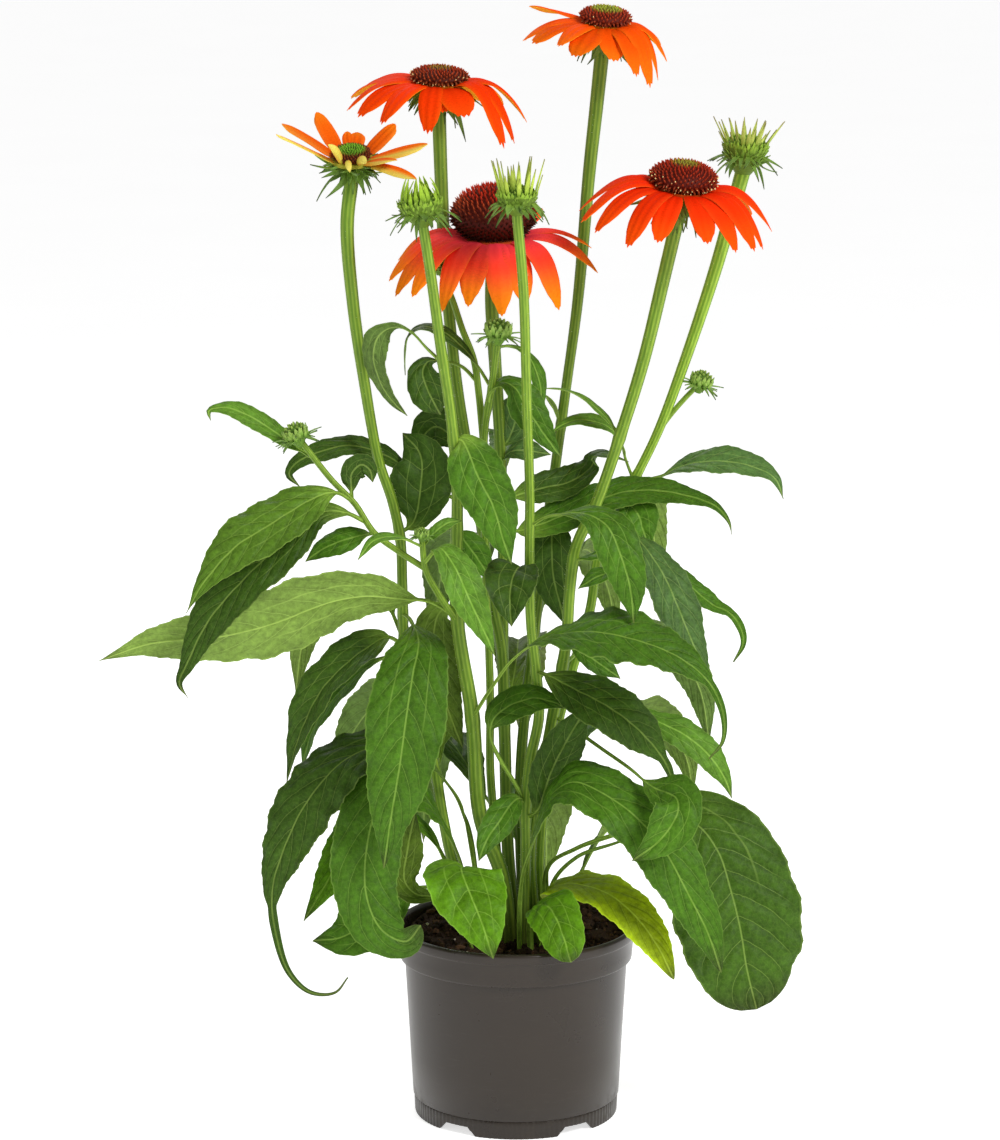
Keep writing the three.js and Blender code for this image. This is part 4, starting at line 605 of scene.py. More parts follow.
def stem_curve(stem):
    points = underground(stem.start, STEM_DEPTH) + stem.path
    if stem.head:
        head = Head(stem.head["centre"], stem.head["axis"])
        points.append(tuple(head.place(0, 0, NECK_RISE - stem.head["cup"])))
    return Curve(points)


# ---- meshes ----


def join(top, under):
    """Rings that run over the top of a flat piece and back along its underside."""
    return np.concatenate([top, under[:, ::-1]], 1)


def placed(name, data, place=(0, 0, 0), rotation=(0, 0, 0)):
    """A new object of the scene, with its mesh, lamp or camera."""
    thing = bpy.data.objects.new(name, data)
    thing.location, thing.rotation_euler = place, rotation
    bpy.context.scene.collection.objects.link(thing)
    return thing


class Body:
    """What one piece is made of: points with a tint and a lay each, and the faces over them.

    The tint is the colour that the material starts from. The lay tells the material where on a
    leaf a point is: across from -1 to 1, the count of side veins along, and millimetres across.
    """

    def __init__(self):
        self.points, self.tints, self.lays, self.faces = [], [], [], []
        self.count = 0

    def add(self, points, tints, lays=None):
        """Adds points and gives their numbers, in the shape that the points came in."""
        points = np.asarray(points, float)
        shape = points.shape[:-1]
        size = int(np.prod(shape))
        self.points.append(points.reshape(size, 3))
        self.tints.append(np.broadcast_to(tints, (*shape, 3)).reshape(size, 3))
        lays = np.zeros(3) if lays is None else lays
        self.lays.append(np.broadcast_to(lays, (*shape, 3)).reshape(size, 3))
        self.count += size
        return np.arange(self.count - size, self.count).reshape(shape)

    def skin(self, rows, tints, lays=None, flat=False):
        """A skin over rows of rings, closed round each ring and at both ends. In a flat piece the
        second half of a ring is the underside, and each end is a strip from top to underside."""
        at = self.add(rows, tints, lays)
        on = np.roll(at, -1, axis=1)
        self.faces.append(np.stack([at[:-1], on[:-1], on[1:], at[1:]], -1).reshape(-1, 4))
        for ring in (at[0, ::-1], at[-1]):
            top, under = ring[: len(ring) // 2], ring[: (len(ring) - 1) // 2 : -1]
            strip = np.stack([top[:-1], top[1:], under[1:], under[:-1]], -1)
            self.faces.append(strip if flat else ring[None])

    def sheet(self, top, under, over, below, lays=None):
        """A flat piece, from the points of its top and underside and the tints of each."""
        tints = join(np.broadcast_to(over, top.shape), np.broadcast_to(below, top.shape))
        self.skin(join(top, under), tints, None if lays is None else join(lays, lays), flat=True)

    def turned(self, head, profile, tint, sides=24):
        """A round body about the axis of a head, from pairs of radius and height."""
        azimuths = np.arange(sides) * 360 / sides
        self.skin(np.stack([head.place(azimuths, r, h) for r, h in profile]), tint)

    def spikes(self, roots, ways, lengths, breadths, tints, belly=0.55, sides=4):
        """Pointed spikes, one for each root, with the tints of root, middle and tip."""
        roots, ways = np.asarray(roots, float), unit(ways)
        lengths, breadths = np.asarray(lengths)[:, None, None], np.asarray(breadths)[:, None, None]
        helper = np.where(np.abs(ways[:, 2:]) > 0.9, np.array([[1.0, 0, 0]]), np.array([[0, 0, 1.0]]))
        side = unit(np.cross(ways, helper))
        lift = np.cross(side, ways)
        turn = 2 * np.pi * np.arange(sides) / sides
        ring = side[:, None] * np.cos(turn)[None, :, None] + lift[:, None] * np.sin(turn)[None, :, None]
        base, way = roots[:, None], ways[:, None]
        foot = base + ring * breadths / 2 - way * 0.15 * lengths
        middle = base + ring * breadths * 0.42 + way * belly * lengths
        tip = (base + way * lengths)[:, 0]
        a = self.add(foot, tints[0])
        b = self.add(middle, tints[1])
        c = self.add(tip, tints[2])
        a1, b1 = np.roll(a, -1, axis=1), np.roll(b, -1, axis=1)
        self.faces.append(np.stack([a1, a, b, b1], -1).reshape(-1, 4))
        self.faces.append(np.stack([b1, b, np.broadcast_to(c[:, None], b.shape)], -1).reshape(-1, 3))
        self.faces.append(a)

    def make(self, name, material, slot, nodes, crease=55):
        """The finished piece, which stands for the nodes that it is given."""
        mesh = bpy.data.meshes.new(name)
        points = np.vstack(self.points) * MM
        mesh.vertices.add(len(points))
        mesh.vertices.foreach_set("co", points.ravel())
        loops = np.concatenate([f.ravel() for f in self.faces])
        sizes = np.concatenate([np.full(len(f), f.shape[1]) for f in self.faces])
        mesh.loops.add(len(loops))
        mesh.loops.foreach_set("vertex_index", loops.astype(np.int32))
        mesh.polygons.add(len(sizes))
        mesh.polygons.foreach_set("loop_start", np.r_[0, np.cumsum(sizes)[:-1]].astype(np.int32))
        mesh.update(calc_edges=True)
        tint = mesh.attributes.new("Tint", "FLOAT_COLOR", "POINT")
        tints = np.vstack(self.tints)
        tint.data.foreach_set("color", np.hstack([tints, np.ones((len(tints), 1))]).ravel())
        lay = mesh.attributes.new("Lay", "FLOAT_VECTOR", "POINT")
        lay.data.foreach_set("vector", np.vstack(self.lays).ravel())
        mesh.shade_smooth()
        mesh.set_sharp_from_angle(angle=math.radians(crease))
        mesh.validate()
        mesh.materials.append(material)
        piece = placed(name, mesh)
        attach(piece, "root")
        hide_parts(*nodes)


# ---- materials ----

LATERAL_PLACE = 0.46  # the long side vein's place, from midrib to edge
PALE_LINES = (0.14, 0.17, 0.045)  # how much lighter a line on a blade is than the green beside it
LINE_SHARES = (0.85, 0.62, 0.5, 0.12)  # how clear the midrib, side veins, long veins and net are
SCUFF_GREY, DUST_BROWN, FIBRE_BROWN = (0.12, 0.11, 0.1), (0.1, 0.08, 0.06), (0.16, 0.1, 0.055)


class Nodes:
    """A node material, with short calls for the nodes that it is built from."""

    def __init__(self, name):
        self.material = bpy.data.materials.new(name)
        self.material.use_nodes = True
        self.tree = self.material.node_tree
        self.tree.nodes.clear()
        self.shader = self.new("ShaderNodeBsdfPrincipled")
        output = self.new("ShaderNodeOutputMaterial")
        self.link(self.shader.outputs["BSDF"], output.inputs["Surface"])

    def new(self, kind):
        return self.tree.nodes.new(kind)

    def link(self, source, target):
        if isinstance(source, bpy.types.NodeSocket):
            self.tree.links.new(source, target)
        else:
            target.default_value = source

    def attribute(self, name, output):
        node = self.new("ShaderNodeAttribute")
        node.attribute_name = name
        return node.outputs[output]

    def parts(self, vector):
        node = self.new("ShaderNodeSeparateXYZ")
        self.link(vector, node.inputs[0])
        return node.outputs

    def place(self, x, y, z):
        node = self.new("ShaderNodeCombineXYZ")
        for socket, value in zip(node.inputs, (x, y, z)):
            self.link(value, socket)
        return node.outputs[0]

    def stretched(self, vector, x, y, z):
        return self.place(*(self.times(part, by) for part, by in zip(self.parts(vector), (x, y, z))))

    def math(self, operation, *values):
        node = self.new("ShaderNodeMath")
        node.operation = operation
        for socket, value in zip(node.inputs, values):
            self.link(value, socket)
        return node.outputs[0]

    def times(self, a, b):
        return self.math("MULTIPLY", a, b)

    def plus(self, a, b):
        return self.math("ADD", a, b)

    def around(self, value, factor, offset):
        """A value times a factor, and an offset to it."""
        return self.math("MULTIPLY_ADD", value, factor, offset)

    def greatest(self, first, *others):
        for other in others:
            first = self.math("MAXIMUM", first, other)
        return first

    def step(self, value, low, high, to_low=0.0, to_high=1.0):
        node = self.new("ShaderNodeMapRange")
        node.interpolation_type = "SMOOTHSTEP"
        for i, v in enumerate((value, low, high, to_low, to_high)):
            self.link(v, node.inputs[i])
        return node.outputs[0]

    def noise(self, scale, detail=3.0, roughness=0.55, vector=None):
        node = self.new("ShaderNodeTexNoise")
        node.inputs["Scale"].default_value = scale
        node.inputs["Detail"].default_value = detail
        node.inputs["Roughness"].default_value = roughness
        self.link(self.here() if vector is None else vector, node.inputs["Vector"])
        return node.outputs["Fac"]

    def cells(self, scale):
        """Distance to the edge of the cell that a point is in."""
        node = self.new("ShaderNodeTexVoronoi")
        node.feature = "DISTANCE_TO_EDGE"
        node.inputs["Scale"].default_value = scale
        self.link(self.here(), node.inputs["Vector"])
        return node.outputs["Distance"]

    def here(self):
        """Places on the piece itself, in metres."""
        return self.new("ShaderNodeTexCoord").outputs["Object"]

    def mix(self, share, a, b, blend="MIX"):
        node = self.new("ShaderNodeMix")
        node.data_type = "RGBA"
        node.blend_type = blend
        self.link(share, node.inputs[0])
        for socket, value in zip(node.inputs[6:8], (a, b)):
            if not isinstance(value, bpy.types.NodeSocket):
                value = (*value, 1)
            self.link(value, socket)
        return node.outputs[2]

    def tinted(self, factor):
        """The tint of each point, made lighter or darker by a factor."""
        return self.shade(self.attribute("Tint", "Color"), factor)

    def shade(self, colour, factor):
        """A colour made lighter or darker by a factor."""
        node = self.new("ShaderNodeVectorMath")
        node.operation = "SCALE"
        self.link(colour, node.inputs[0])
        self.link(factor, node.inputs["Scale"])
        return node.outputs[0]

    def bump(self, height, strength, distance):
        node = self.new("ShaderNodeBump")
        node.inputs["Strength"].default_value = strength
        node.inputs["Distance"].default_value = distance
        self.link(height, node.inputs["Height"])
        self.link(node.outputs[0], self.shader.inputs["Normal"])

    def finish(self, colour, roughness, specular=0.5):
        self.link(colour, self.shader.inputs["Base Color"])
        self.link(roughness, self.shader.inputs["Roughness"])
        self.shader.inputs["Specular IOR Level"].default_value = specular
        return self.material


def leaf_material():
    """Green blades: pale midrib and side veins, a fine net between them, mottled and satin, with painted
    shade beside the side veins and painted light between them.
    """
    n = Nodes("leaf_green")
    across, veins, width = n.parts(n.attribute("Lay", "Vector"))[:3]
    tint = n.attribute("Tint", "Color")
    from_middle = n.math("ABSOLUTE", across)
    rib = n.step(n.math("ABSOLUTE", width), 0.25, 0.75, 1.0, 0.0)
    wobble = n.around(n.noise(160), 0.16, -0.08)
    side = n.math("PINGPONG", n.plus(veins, wobble), 0.5)
    vein = n.times(n.step(side, 0.006, 0.028, 1.0, 0.0), n.step(from_middle, 0.97, 0.6))
    from_lateral = n.math("ABSOLUTE", n.math("SUBTRACT", from_middle, LATERAL_PLACE))
    lateral = n.times(n.step(from_lateral, 0.008, 0.028, 1.0, 0.0), n.step(veins, 5.0, 2.5))
    net = n.step(n.cells(330), 0.0, 0.09, 1.0, 0.0)
    # a pale line along the edge: partly the leaf's own pale margin, partly painted rim light
    rim = n.times(n.step(from_middle, 0.955, 0.985), 0.45)
    lines = [n.times(line, share) for line, share in zip((rib, vein, lateral, net), LINE_SHARES)]

    # painted shade in the valley beside each side vein and painted light on the swell between two veins
    band = n.step(side, 0.02, 0.3, 0.87, 1.05)
    patches = n.around(n.noise(46, 3), 0.7, 0.52)
    grain = n.around(n.noise(280, 4, 0.65), 1.3, 0.3)
    green = n.shade(tint, n.times(band, n.times(patches, grain)))
    pale = n.mix(1.0, n.shade(tint, 1.1), PALE_LINES, "ADD")
    colour = n.mix(n.greatest(*lines, rim), green, pale)
    swell = n.times(n.step(side, 0.0, 0.3), n.step(from_middle, 1.0, 0.7))
    relief = n.plus(n.times(swell, 0.6), n.times(n.cells(150), 1.3))
    n.bump(n.plus(relief, n.times(n.noise(900, 2), 0.3)), 0.8, 0.0007)
    return n.finish(colour, n.around(n.noise(420), 0.2, 0.42), 0.14)


def stem_material():
    """Ribbed green stalks with fine lengthwise streaks."""
    n = Nodes("stem_green")
    streaks = n.noise(1, 3, 0.6, n.stretched(n.here(), 900, 900, 60))
    colour = n.tinted(n.around(streaks, 1.0, 0.5))
    n.bump(streaks, 0.3, 0.0004)
    return n.finish(colour, n.around(n.noise(300), 0.2, 0.42), 0.28)


def petal_material():
    """Petals: fine streaks from base to tip and a velvety surface."""
    n = Nodes("petal_velvet")
    _, along, width = n.parts(n.attribute("Lay", "Vector"))[:3]
    fine = n.noise(1, 3, 0.6, n.place(n.times(width, 2.6), n.times(along, 1.6), 0.0))
    broad = n.noise(1, 2, 0.5, n.place(n.times(width, 0.5), n.times(along, 0.9), 3.0))
    colour = n.tinted(n.plus(n.times(fine, 0.3), n.around(broad, 0.4, 0.65)))
    n.bump(fine, 0.3, 0.0004)
    return n.finish(colour, n.around(n.noise(500), 0.15, 0.6), 0.03)


def floret_material():
    """Cones, buds and bracts: the colour comes with each spike, a little uneven."""
    n = Nodes("floret_spikes")
    colour = n.tinted(n.around(n.noise(700, 3), 0.6, 0.7))
    n.bump(n.noise(1500, 2), 0.2, 0.0003)
    return n.finish(colour, n.around(n.noise(400), 0.2, 0.5), 0.15)


def hair_material():
    n = Nodes("pale_hairs")
    return n.finish(n.tinted(n.around(n.noise(200), 0.4, 0.8)), 0.5, 0.3)


def pot_material():
    """Dark grey moulded plastic, satin, with faint scuffs, a little dusty low down, and painted shade that
    darkens it towards the ground.
    """
    n = Nodes("pot_plastic")
    height = n.parts(n.here())[2]
    clouds = n.noise(26, 4, 0.6)
    scuffs = n.step(n.noise(1, 4, 0.7, n.stretched(n.here(), 60, 60, 700)), 0.56, 0.72)
    dust = n.times(n.step(height, 0.03, 0.0), n.step(n.noise(120, 4), 0.4, 0.7))
    # painted shade: darker towards the ground
    low = n.step(height, 0.006, 0.03, 0.78, 1.0)
    grey = n.tinted(n.times(low, n.around(clouds, 0.3, 0.86)))
    grey = n.mix(n.times(scuffs, 0.06), grey, SCUFF_GREY)
    grey = n.mix(n.times(dust, 0.12), grey, DUST_BROWN)
    n.bump(n.plus(n.noise(900, 2), n.times(scuffs, 0.3)), 0.06, 0.0003)
    return n.finish(grey, n.plus(n.around(clouds, 0.14, 0.22), n.times(dust, 0.25)), 0.38)


def soil_material():
    """Peat and bark: dark, coarse and dry, with small lighter fibres."""
    n = Nodes("soil_peat")
    coarse = n.noise(420, 6, 0.7)
    fibres = n.step(n.noise(1600, 3, 0.6), 0.62, 0.7)
    colour = n.tinted(n.around(coarse, 1.5, 0.3))
    n.bump(coarse, 0.9, 0.002)
    return n.finish(n.mix(n.times(fibres, 0.35), colour, FIBRE_BROWN), 0.95, 0.2)


# ---- leaves ----

# Colours of the top and the underside of each kind of leaf. The dark and the olive tone are partly the
# leaves' own deeper green and partly painted shade, for leaves that sit in the shade of others.
TONES = {
    "dark": ("3e5e18", "66843a"),
    "deep": ("466a1a", "7a9a44"),
    "mid": ("4a7618", "7d9b42"),
    "warm": ("587e20", "84a444"),
    "soft": ("5e8642", "90ae68"),
    # a greyer, bluish green that stands in for a bluish sheen: painted reflection
    "blue": ("507236", "809e60"),
    "olive": ("56701e", "84964a"),
    "light": ("62902a", "94b24e"),
    "fresh": ("56860e", "84a638"),
    "yellow": ("9ab40e", "a8bc40"),
}
STALK_GREEN, END_GREEN = rgb("86aa3c"), rgb("3a4420")
EDGES = {"fresh": 0.3, "yellow": 0.9}  # how much lighter the edge is than the middle
PLAIN_EDGE = -0.15
QUILTS = {"deep": 1.5, "fresh": 1.4, "yellow": 0.5}  # how much more than others a blade swells
ROW = 1.9  # distance between the rows of a blade
TOOTH = 7.5  # length of a tooth on the edge
VEIN_SPACING = 15
BEND_SPACING = 27  # a little less than from a roll to one side to a roll to the other
EDGE_WAVE = 9  # length over 2 pi of the waves in which the edge runs in and out
RUFFLES = (3.9, 3.4)  # the same for the ruffles along one edge and along the other
HALF_SHEET = 0.22  # half of a blade's thickness
PETIOLE_WIDTH = 1.3  # half width of the stalk of a leaf on a stem
ROOT_PETIOLE_WIDTH = 2


def leaf_columns(width):
    """Places across a blade from -1 to 1, closer together near the midrib."""
    n = int(np.clip(round(width / 5), 3, 14))
    half = (np.arange(n + 1) / n) ** 1.25
    return np.r_[-half[:0:-1], half]


def teeth(along, length, phase):
    """How far the edge stands out: teeth that rise slowly and end short."""
    count = np.maximum(length / TOOTH, 4)
    saw = (along * count + phase) % 1
    return saw**1.4 * smooth(along, 0.05, 0.15) * smooth(along, 0.97, 0.85)


def blade_frame(along, face):
    """The ways across a blade and out of its top, from the ways along it and that it faces."""
    normal = unit(face - (face * along).sum(-1, keepdims=True) * along)
    return np.cross(along, normal), normal


def leaf_outline(spec, length, t, phase, stalk):
    """Places along the blade alone, from 0 to 1, and half of the leaf's width at each."""
    width, belly, petiole, tip, tail = (spec[k] for k in ("width", "belly", "petiole", "tip", "tail"))
    s = np.clip((t - petiole) / (1 - petiole - tail), 0, 1)
    profile = (s / belly) ** (tip * belly / (1 - belly)) * ((1 - s) / (1 - belly)) ** tip
    profile = profile * (1 + min(0.045, 1 / width) * np.sin(s * length / EDGE_WAVE + phase))
    thin = lerp(stalk, 0.35, smooth(t, 0.7 * petiole, petiole + 0.12))
    half = np.maximum(width / 2 * profile, thin * np.minimum(1, 0.35 + (1 - t) * 8))
    if tail:
        thread = (0.4 + 2.6 * np.minimum(1, (1 - t) / tail)) * smooth(t, petiole, petiole + 0.2)
        half = np.maximum(half, thread)
    return s, half


def leaf_tints(spec, t, far, rng):
    """Tints of the top and the underside: pale on the stalk and dark at the very end."""
    over, under = (rgb(c) for c in TONES[spec["tone"]])
    level = 0.9 + 0.22 * rng.random()
    green = smooth(t, 0.55 * spec["petiole"], spec["petiole"] + 0.16)[..., None]
    edge = (far**4)[..., None] * EDGES.get(spec["tone"], PLAIN_EDGE)
    over = lerp(STALK_GREEN, over * level, green) * (1 + edge)
    under = lerp(STALK_GREEN, under * level, green) * (1 + 0.5 * edge)
    end = smooth(t, 0.92, 1.0)[..., None]
    return lerp(over, END_GREEN, 0.7 * end), lerp(under, END_GREEN, 0.5 * end)


def add_leaf(body, points, spec, phase, rng, stalk=PETIOLE_WIDTH, most=9, inward=0.0):
    """A leaf along its midrib. It has no more bends than most, and leans inward by a share."""
    points = np.array(points, float)
    curve = Curve(points)
    bends = np.clip(round(curve.length / BEND_SPACING), 4, most)
    t = np.linspace(0, 1, max(14, round(curve.length / ROW)) + 1)[:, None]
    centre, along = curve.at(t[:, 0]), curve.along(t[:, 0])
    bias = unit((points[0] - points[-1]) * (1, 1, 0)) * inward
    facing = lerp(unit(spec["face"][0]), unit(spec["face"][1]), t) + bias
    side, normal = blade_frame(along, facing)

    s, half = leaf_outline(spec, curve.length, t, phase, stalk)
    u = leaf_columns(spec["width"])[None, :]
    far = np.abs(u)
    blade_length = curve.length * (1 - spec["petiole"])
    tooth = np.where(u < 0, *(teeth(s, blade_length, rng.random()) for _ in range(2)))
    across = np.sign(u) * (half * far + tooth * far**8 * np.minimum(0.9, 0.09 * half))
    veins = (s - 0.24 * far**1.25) * np.clip(round(blade_length / VEIN_SPACING), 4, 10)
    ruffle = np.where(u < 0, *(np.sin(s * blade_length / wave + 6 * rng.random()) for wave in RUFFLES))

    fold = math.radians(spec["fold"])
    roll = np.minimum(0.07 * half, 1.6) * np.sin(phase + 2.4 * t * bends)
    quilt = np.sin(np.pi * veins) ** 2 * (1 - far**3) * smooth(far, 0, 0.15)
    depth = np.minimum(0.085 * half, 1.2) * QUILTS.get(spec["tone"], 1)
    lift = half * math.sin(fold) * (np.sqrt(far**2 + 0.01) - 0.1) + u * roll
    lift = lift + 0.07 * half * far**3 * ruffle * smooth(s, 0, 0.2) + depth * quilt
    lift = lift - 0.05 * half * far**2
    flat = centre[:, None] + side[:, None] * (across * math.cos(fold))[..., None]

    size = stalk / PETIOLE_WIDTH
    keel = lerp(1.5 * size, 0.35, t**0.6) * np.exp(-((across / lerp(1.1 * size, 0.5, t)) ** 2))
    groove = 0.3 * np.exp(-((across / 0.8) ** 2))
    top = flat + normal[:, None] * (lift + HALF_SHEET - groove)[..., None]
    under = flat + normal[:, None] * (lift - HALF_SHEET - keel)[..., None]
    lays = np.stack(np.broadcast_arrays(u, veins, across), -1)
    body.sheet(top, under, *leaf_tints(spec, t, far, rng), lays)


# ---- stalks, hairs and straps ----

RIBS = 8
# colours of rib crests and grooves: partly the stem's own pale ribs, partly painted highlight and painted
# shade
RIB_LIGHT, RIB_DARK = rgb("9cb840"), rgb("5a801a")
# the foot colour is partly the stems' own brown and partly painted shade near the soil
FOOT_BROWN_AND_SHADE, HAIR_WHITE = rgb("5a5a26"), rgb("dfe6c0")
HAIR_BREADTH = 0.13
JOINT_SWELLING = 0.45  # how much thicker a stalk is where a leaf leaves it


def stalk_frame(curve, radii, t):
    """At shares of a stalk: the middle, the ways along, to the back and the side, the radius."""
    along = curve.along(t)
    back = unit(np.array(BACK, float) - along[:, 1:2] * along)
    radius = np.interp(t * (len(radii) - 1), range(len(radii)), radii)
    return curve.at(t), along, back, np.cross(back, along), radius


def add_stalk(body, curve, radii, joints=(), light=RIB_LIGHT, dark=RIB_DARK, spacing=5, sides=32):
    """A ribbed stalk along a curve, a little thicker where leaves join it."""
    t = np.linspace(0, 1, round(curve.length / spacing) + 1)
    centre, _, back, side, radius = stalk_frame(curve, radii, t)
    for height in joints:
        radius = radius + JOINT_SWELLING * np.exp(-(((centre[:, 2] - height) / 4) ** 2))
    turn = 2 * np.pi * np.arange(sides) / sides
    crest = 0.7 * np.cos(RIBS * turn + 0.8 * np.sin(2 * turn)) + 0.3 * np.cos(3 * turn + 1)
    reach = radius[:, None] * (1 + 0.045 * crest)
    ring = back[:, None] * np.cos(turn)[None, :, None] - side[:, None] * np.sin(turn)[None, :, None]
    # lighter crests and darker grooves: partly the stem's own pale ribs, partly painted highlight on the
    # crests and painted shade in the grooves
    tint = lerp(dark, light, ((0.5 + 0.5 * crest) ** 1.7)[None, :, None])
    # browner and darker near the soil: partly the stems' own brown foot, partly painted shade where the
    # stems crowd above the soil
    low = smooth(centre[:, 2], CROWN + 45, CROWN)[:, None, None]
    body.skin(centre[:, None] + ring * reach[..., None], lerp(tint, FOOT_BROWN_AND_SHADE, 0.7 * low))


def add_hairs(body, curve, radii, count, rng):
    """Short stiff hairs that stand off a stalk, above the soil."""
    low = curve.share_at_height(CROWN + 12)
    t = low + (0.99 - low) * rng.random(count)
    centre, along, back, side, radius = stalk_frame(curve, radii, t)
    turn = 2 * np.pi * rng.random(count)[:, None]
    out = back * np.cos(turn) - side * np.sin(turn)
    roots = centre + out * (radius - 0.1)[:, None]
    ways = out + along * (0.5 * rng.random(count) - 0.1)[:, None]
    lengths = 0.7 + 0.8 * rng.random(count)
    body.spikes(roots, ways, lengths, np.full(count, HAIR_BREADTH), [HAIR_WHITE] * 3, sides=3)


def add_strap(body, root, way, face, length, breadth, bend, tints, rows=6, pointed=0.45, sway=0.0):
    """A narrow pointed blade, such as a bract or a young ray: it starts along way and bends
    towards face as it goes. The tints are those of its foot, its middle and its tip."""
    way, face = unit(way), np.asarray(face, float)
    s = np.linspace(0, 1, rows)[:, None]
    centre = np.asarray(root, float) + way * length * s + unit(face) * bend * length * s**2
    centre = centre + np.cross(way, unit(face)) * sway * length * s**2
    side, normal = blade_frame(unit(np.gradient(centre, axis=0)), face)
    half = breadth / 2 * np.minimum(1, ((1 - s) / (1 - pointed)) ** 0.8) * lerp(0.75, 1, smooth(s, 0, 0.3))
    half = np.maximum(half, 0.12)
    u = np.array([-1, 0, 1])
    flat = centre[:, None] + side[:, None] * (half * u)[..., None]
    lift = 0.25 * half * np.abs(u)
    top = flat + normal[:, None] * (lift + 0.18)[..., None]
    under = flat + normal[:, None] * (lift - 0.25 - 0.12 * (u == 0))[..., None]
    foot, middle, end = (np.asarray(c) for c in tints)
    tint = lerp(lerp(foot, middle, smooth(s, 0, 0.6)), end, smooth(s, 0.68, 1.0))[:, None]
    body.sheet(top, under, tint, tint)


def at_level(tints, level):
    """Tints made lighter or darker."""
    return [c * level for c in tints]


# ---- the green cups under the heads ----

BRACT_TONES = (rgb("7c9c34"), rgb("6f9040"), rgb("3c4e24"))
YOUNG_TONES = (rgb("54761e"), rgb("8cae34"), rgb("88a63c"))  # the upper scales of a young head
BRACT_BREADTH = 2.6
CUP_LEVELS = (-1, -0.45, 0)  # where a cup has its three radii, as shares of its depth
SCALE_ROWS, SCALE_GAP = (0.08, 0.22, 0.38, 0.55, 0.72), 2.9  # rows as shares of the depth
CURL_ROWS, CURL_GAP = (0.12, 0.34, 0.6), 2.6


def add_calyx(body, head, neck, spec, draw, rng):
    """The green cup between a neck and its head. The first draws place its main bracts, and
    smaller ones cover the cup: curled ones under a flower, upright scales under a young head."""
    radius, depth, young = spec["radius"], spec["cup"], "petals" not in spec
    middle, top = (0.75, 0.95) if young else (0.55, 0.8)
    cup = [neck, radius * middle, radius * top]
    h = np.linspace(-1, 0, 9)
    reach = np.interp(h, CUP_LEVELS, cup) + 0.5 * np.sin(np.pi * -h)
    tint = BRACT_TONES[0] * (0.6 if young else 0.8)
    body.turned(head, zip(reach, np.minimum(h * depth, -0.2)), tint)
    add_main_bracts(body, head, spec, young, draw, rng)
    if young:
        add_scales(body, head, cup, depth, rng)
    else:
        add_curled_bracts(body, head, cup, spec, rng)


def add_main_bracts(body, head, spec, young, draw, rng):
    radius, depth, bracts = spec["radius"], spec["cup"], spec["bracts"]
    count, breadth = bracts["count"], bracts.get("breadth", BRACT_BREADTH)
    for i in range(count):
        azimuth = 360 * (i + 0.3 * draw()) / count
        row = i % 2
        share = (0.42 if row else 0.6) * (1.25 if young else 1)
        root = head.place(azimuth, radius * share, -depth * (0.5 if row else 0.25))
        lean = 0.5 * (bracts["lift"] + bracts["droop"]) - 0.3 * row - 0.4 * draw()
        length = bracts["length"] * (0.8 + 0.4 * draw()) + radius * 0.3
        way = head.out(azimuth) + head.up * lean
        tones = at_level(BRACT_TONES, 0.8 + 0.4 * rng.random())
        bend = 0.35 * rng.normal() - 0.15
        sway = 0.22 * rng.normal()
        if not young and bracts["lift"] <= 0:
            bend = -0.3 - 0.8 * abs(bend)
        face = head.up + head.out(azimuth + 90) * (0 if young else rng.normal())
        add_strap(body, root, way, face, length, breadth * 1.3, bend, tones, rows=9, sway=sway)
        if young:
            beside = azimuth + 11
            root = head.place(beside, radius * share * 1.05, -depth * 0.35)
            way = head.out(beside) - head.up * 0.6 * rng.random()
            length *= 0.6 + 0.3 * rng.random()
            bend = -0.6 * rng.random()
            add_strap(body, root, way, head.up, length, breadth, bend, tones, rows=8, sway=-sway)


def cup_places(head, cup, depth, rows, gap, rng):
    """Places for small bracts over a cup: row, share of the depth, azimuth, root and level."""
    for row, share in enumerate(rows):
        reach = np.interp(-share, CUP_LEVELS, cup)
        ring = round(2 * np.pi * reach / gap)
        for i in range(ring):
            azimuth = 360 * (i + 0.5 * row + 0.5 * rng.random()) / ring
            root = head.place(azimuth, reach - 0.3, -depth * share)
            yield row, share, azimuth, root, 0.75 + 0.5 * rng.random()


def add_scales(body, head, cup, depth, rng):
    for _, share, azimuth, root, level in cup_places(head, cup, depth, SCALE_ROWS, SCALE_GAP, rng):
        way = head.up + head.out(azimuth) * (0.25 + 0.9 * share + 0.3 * rng.random())
        length = depth * (0.3 + 0.2 * rng.random())
        bend = 0.35 - 0.9 * share
        tones = [lerp(low, high, 1 - share) * level for low, high in zip(BRACT_TONES, YOUNG_TONES)]
        add_strap(body, root, way, -head.out(azimuth), length, 2.4, bend, tones)


def add_curled_bracts(body, head, cup, spec, rng):
    bracts = spec["bracts"]
    breadth = bracts.get("breadth", BRACT_BREADTH)
    tilt, curl = (0.3, 0.3) if bracts["lift"] > 0 else (-0.3, 0)
    places = cup_places(head, cup, spec["cup"], CURL_ROWS, CURL_GAP, rng)
    for row, _, azimuth, root, level in places:
        way = head.out(azimuth) + head.up * (tilt - 0.4 * row - 0.5 * rng.random())
        length = (0.5 + 0.4 * rng.random()) * bracts["length"] + 0.12 * spec["radius"]
        bend = curl - 0.7 * rng.random()
        face = head.up + head.out(azimuth + 90) * rng.normal()
        add_strap(body, root, way, face, length, breadth, bend, at_level(BRACT_TONES, level))


# ---- domes of florets ----

GOLDEN_ANGLE = 137.508
POLLEN = rgb("f2dc96")
UPWARD = 0.6  # how much more than the dome's surface its florets point up


def plain_tints(root, tip):
    """The tints of florets that are alike all over a dome."""

    def tints(share):
        low, high = (np.broadcast_to(rgb(c), (len(share), 3)) for c in (root, tip))
        return low, lerp(low, high, 0.5), high

    return tints


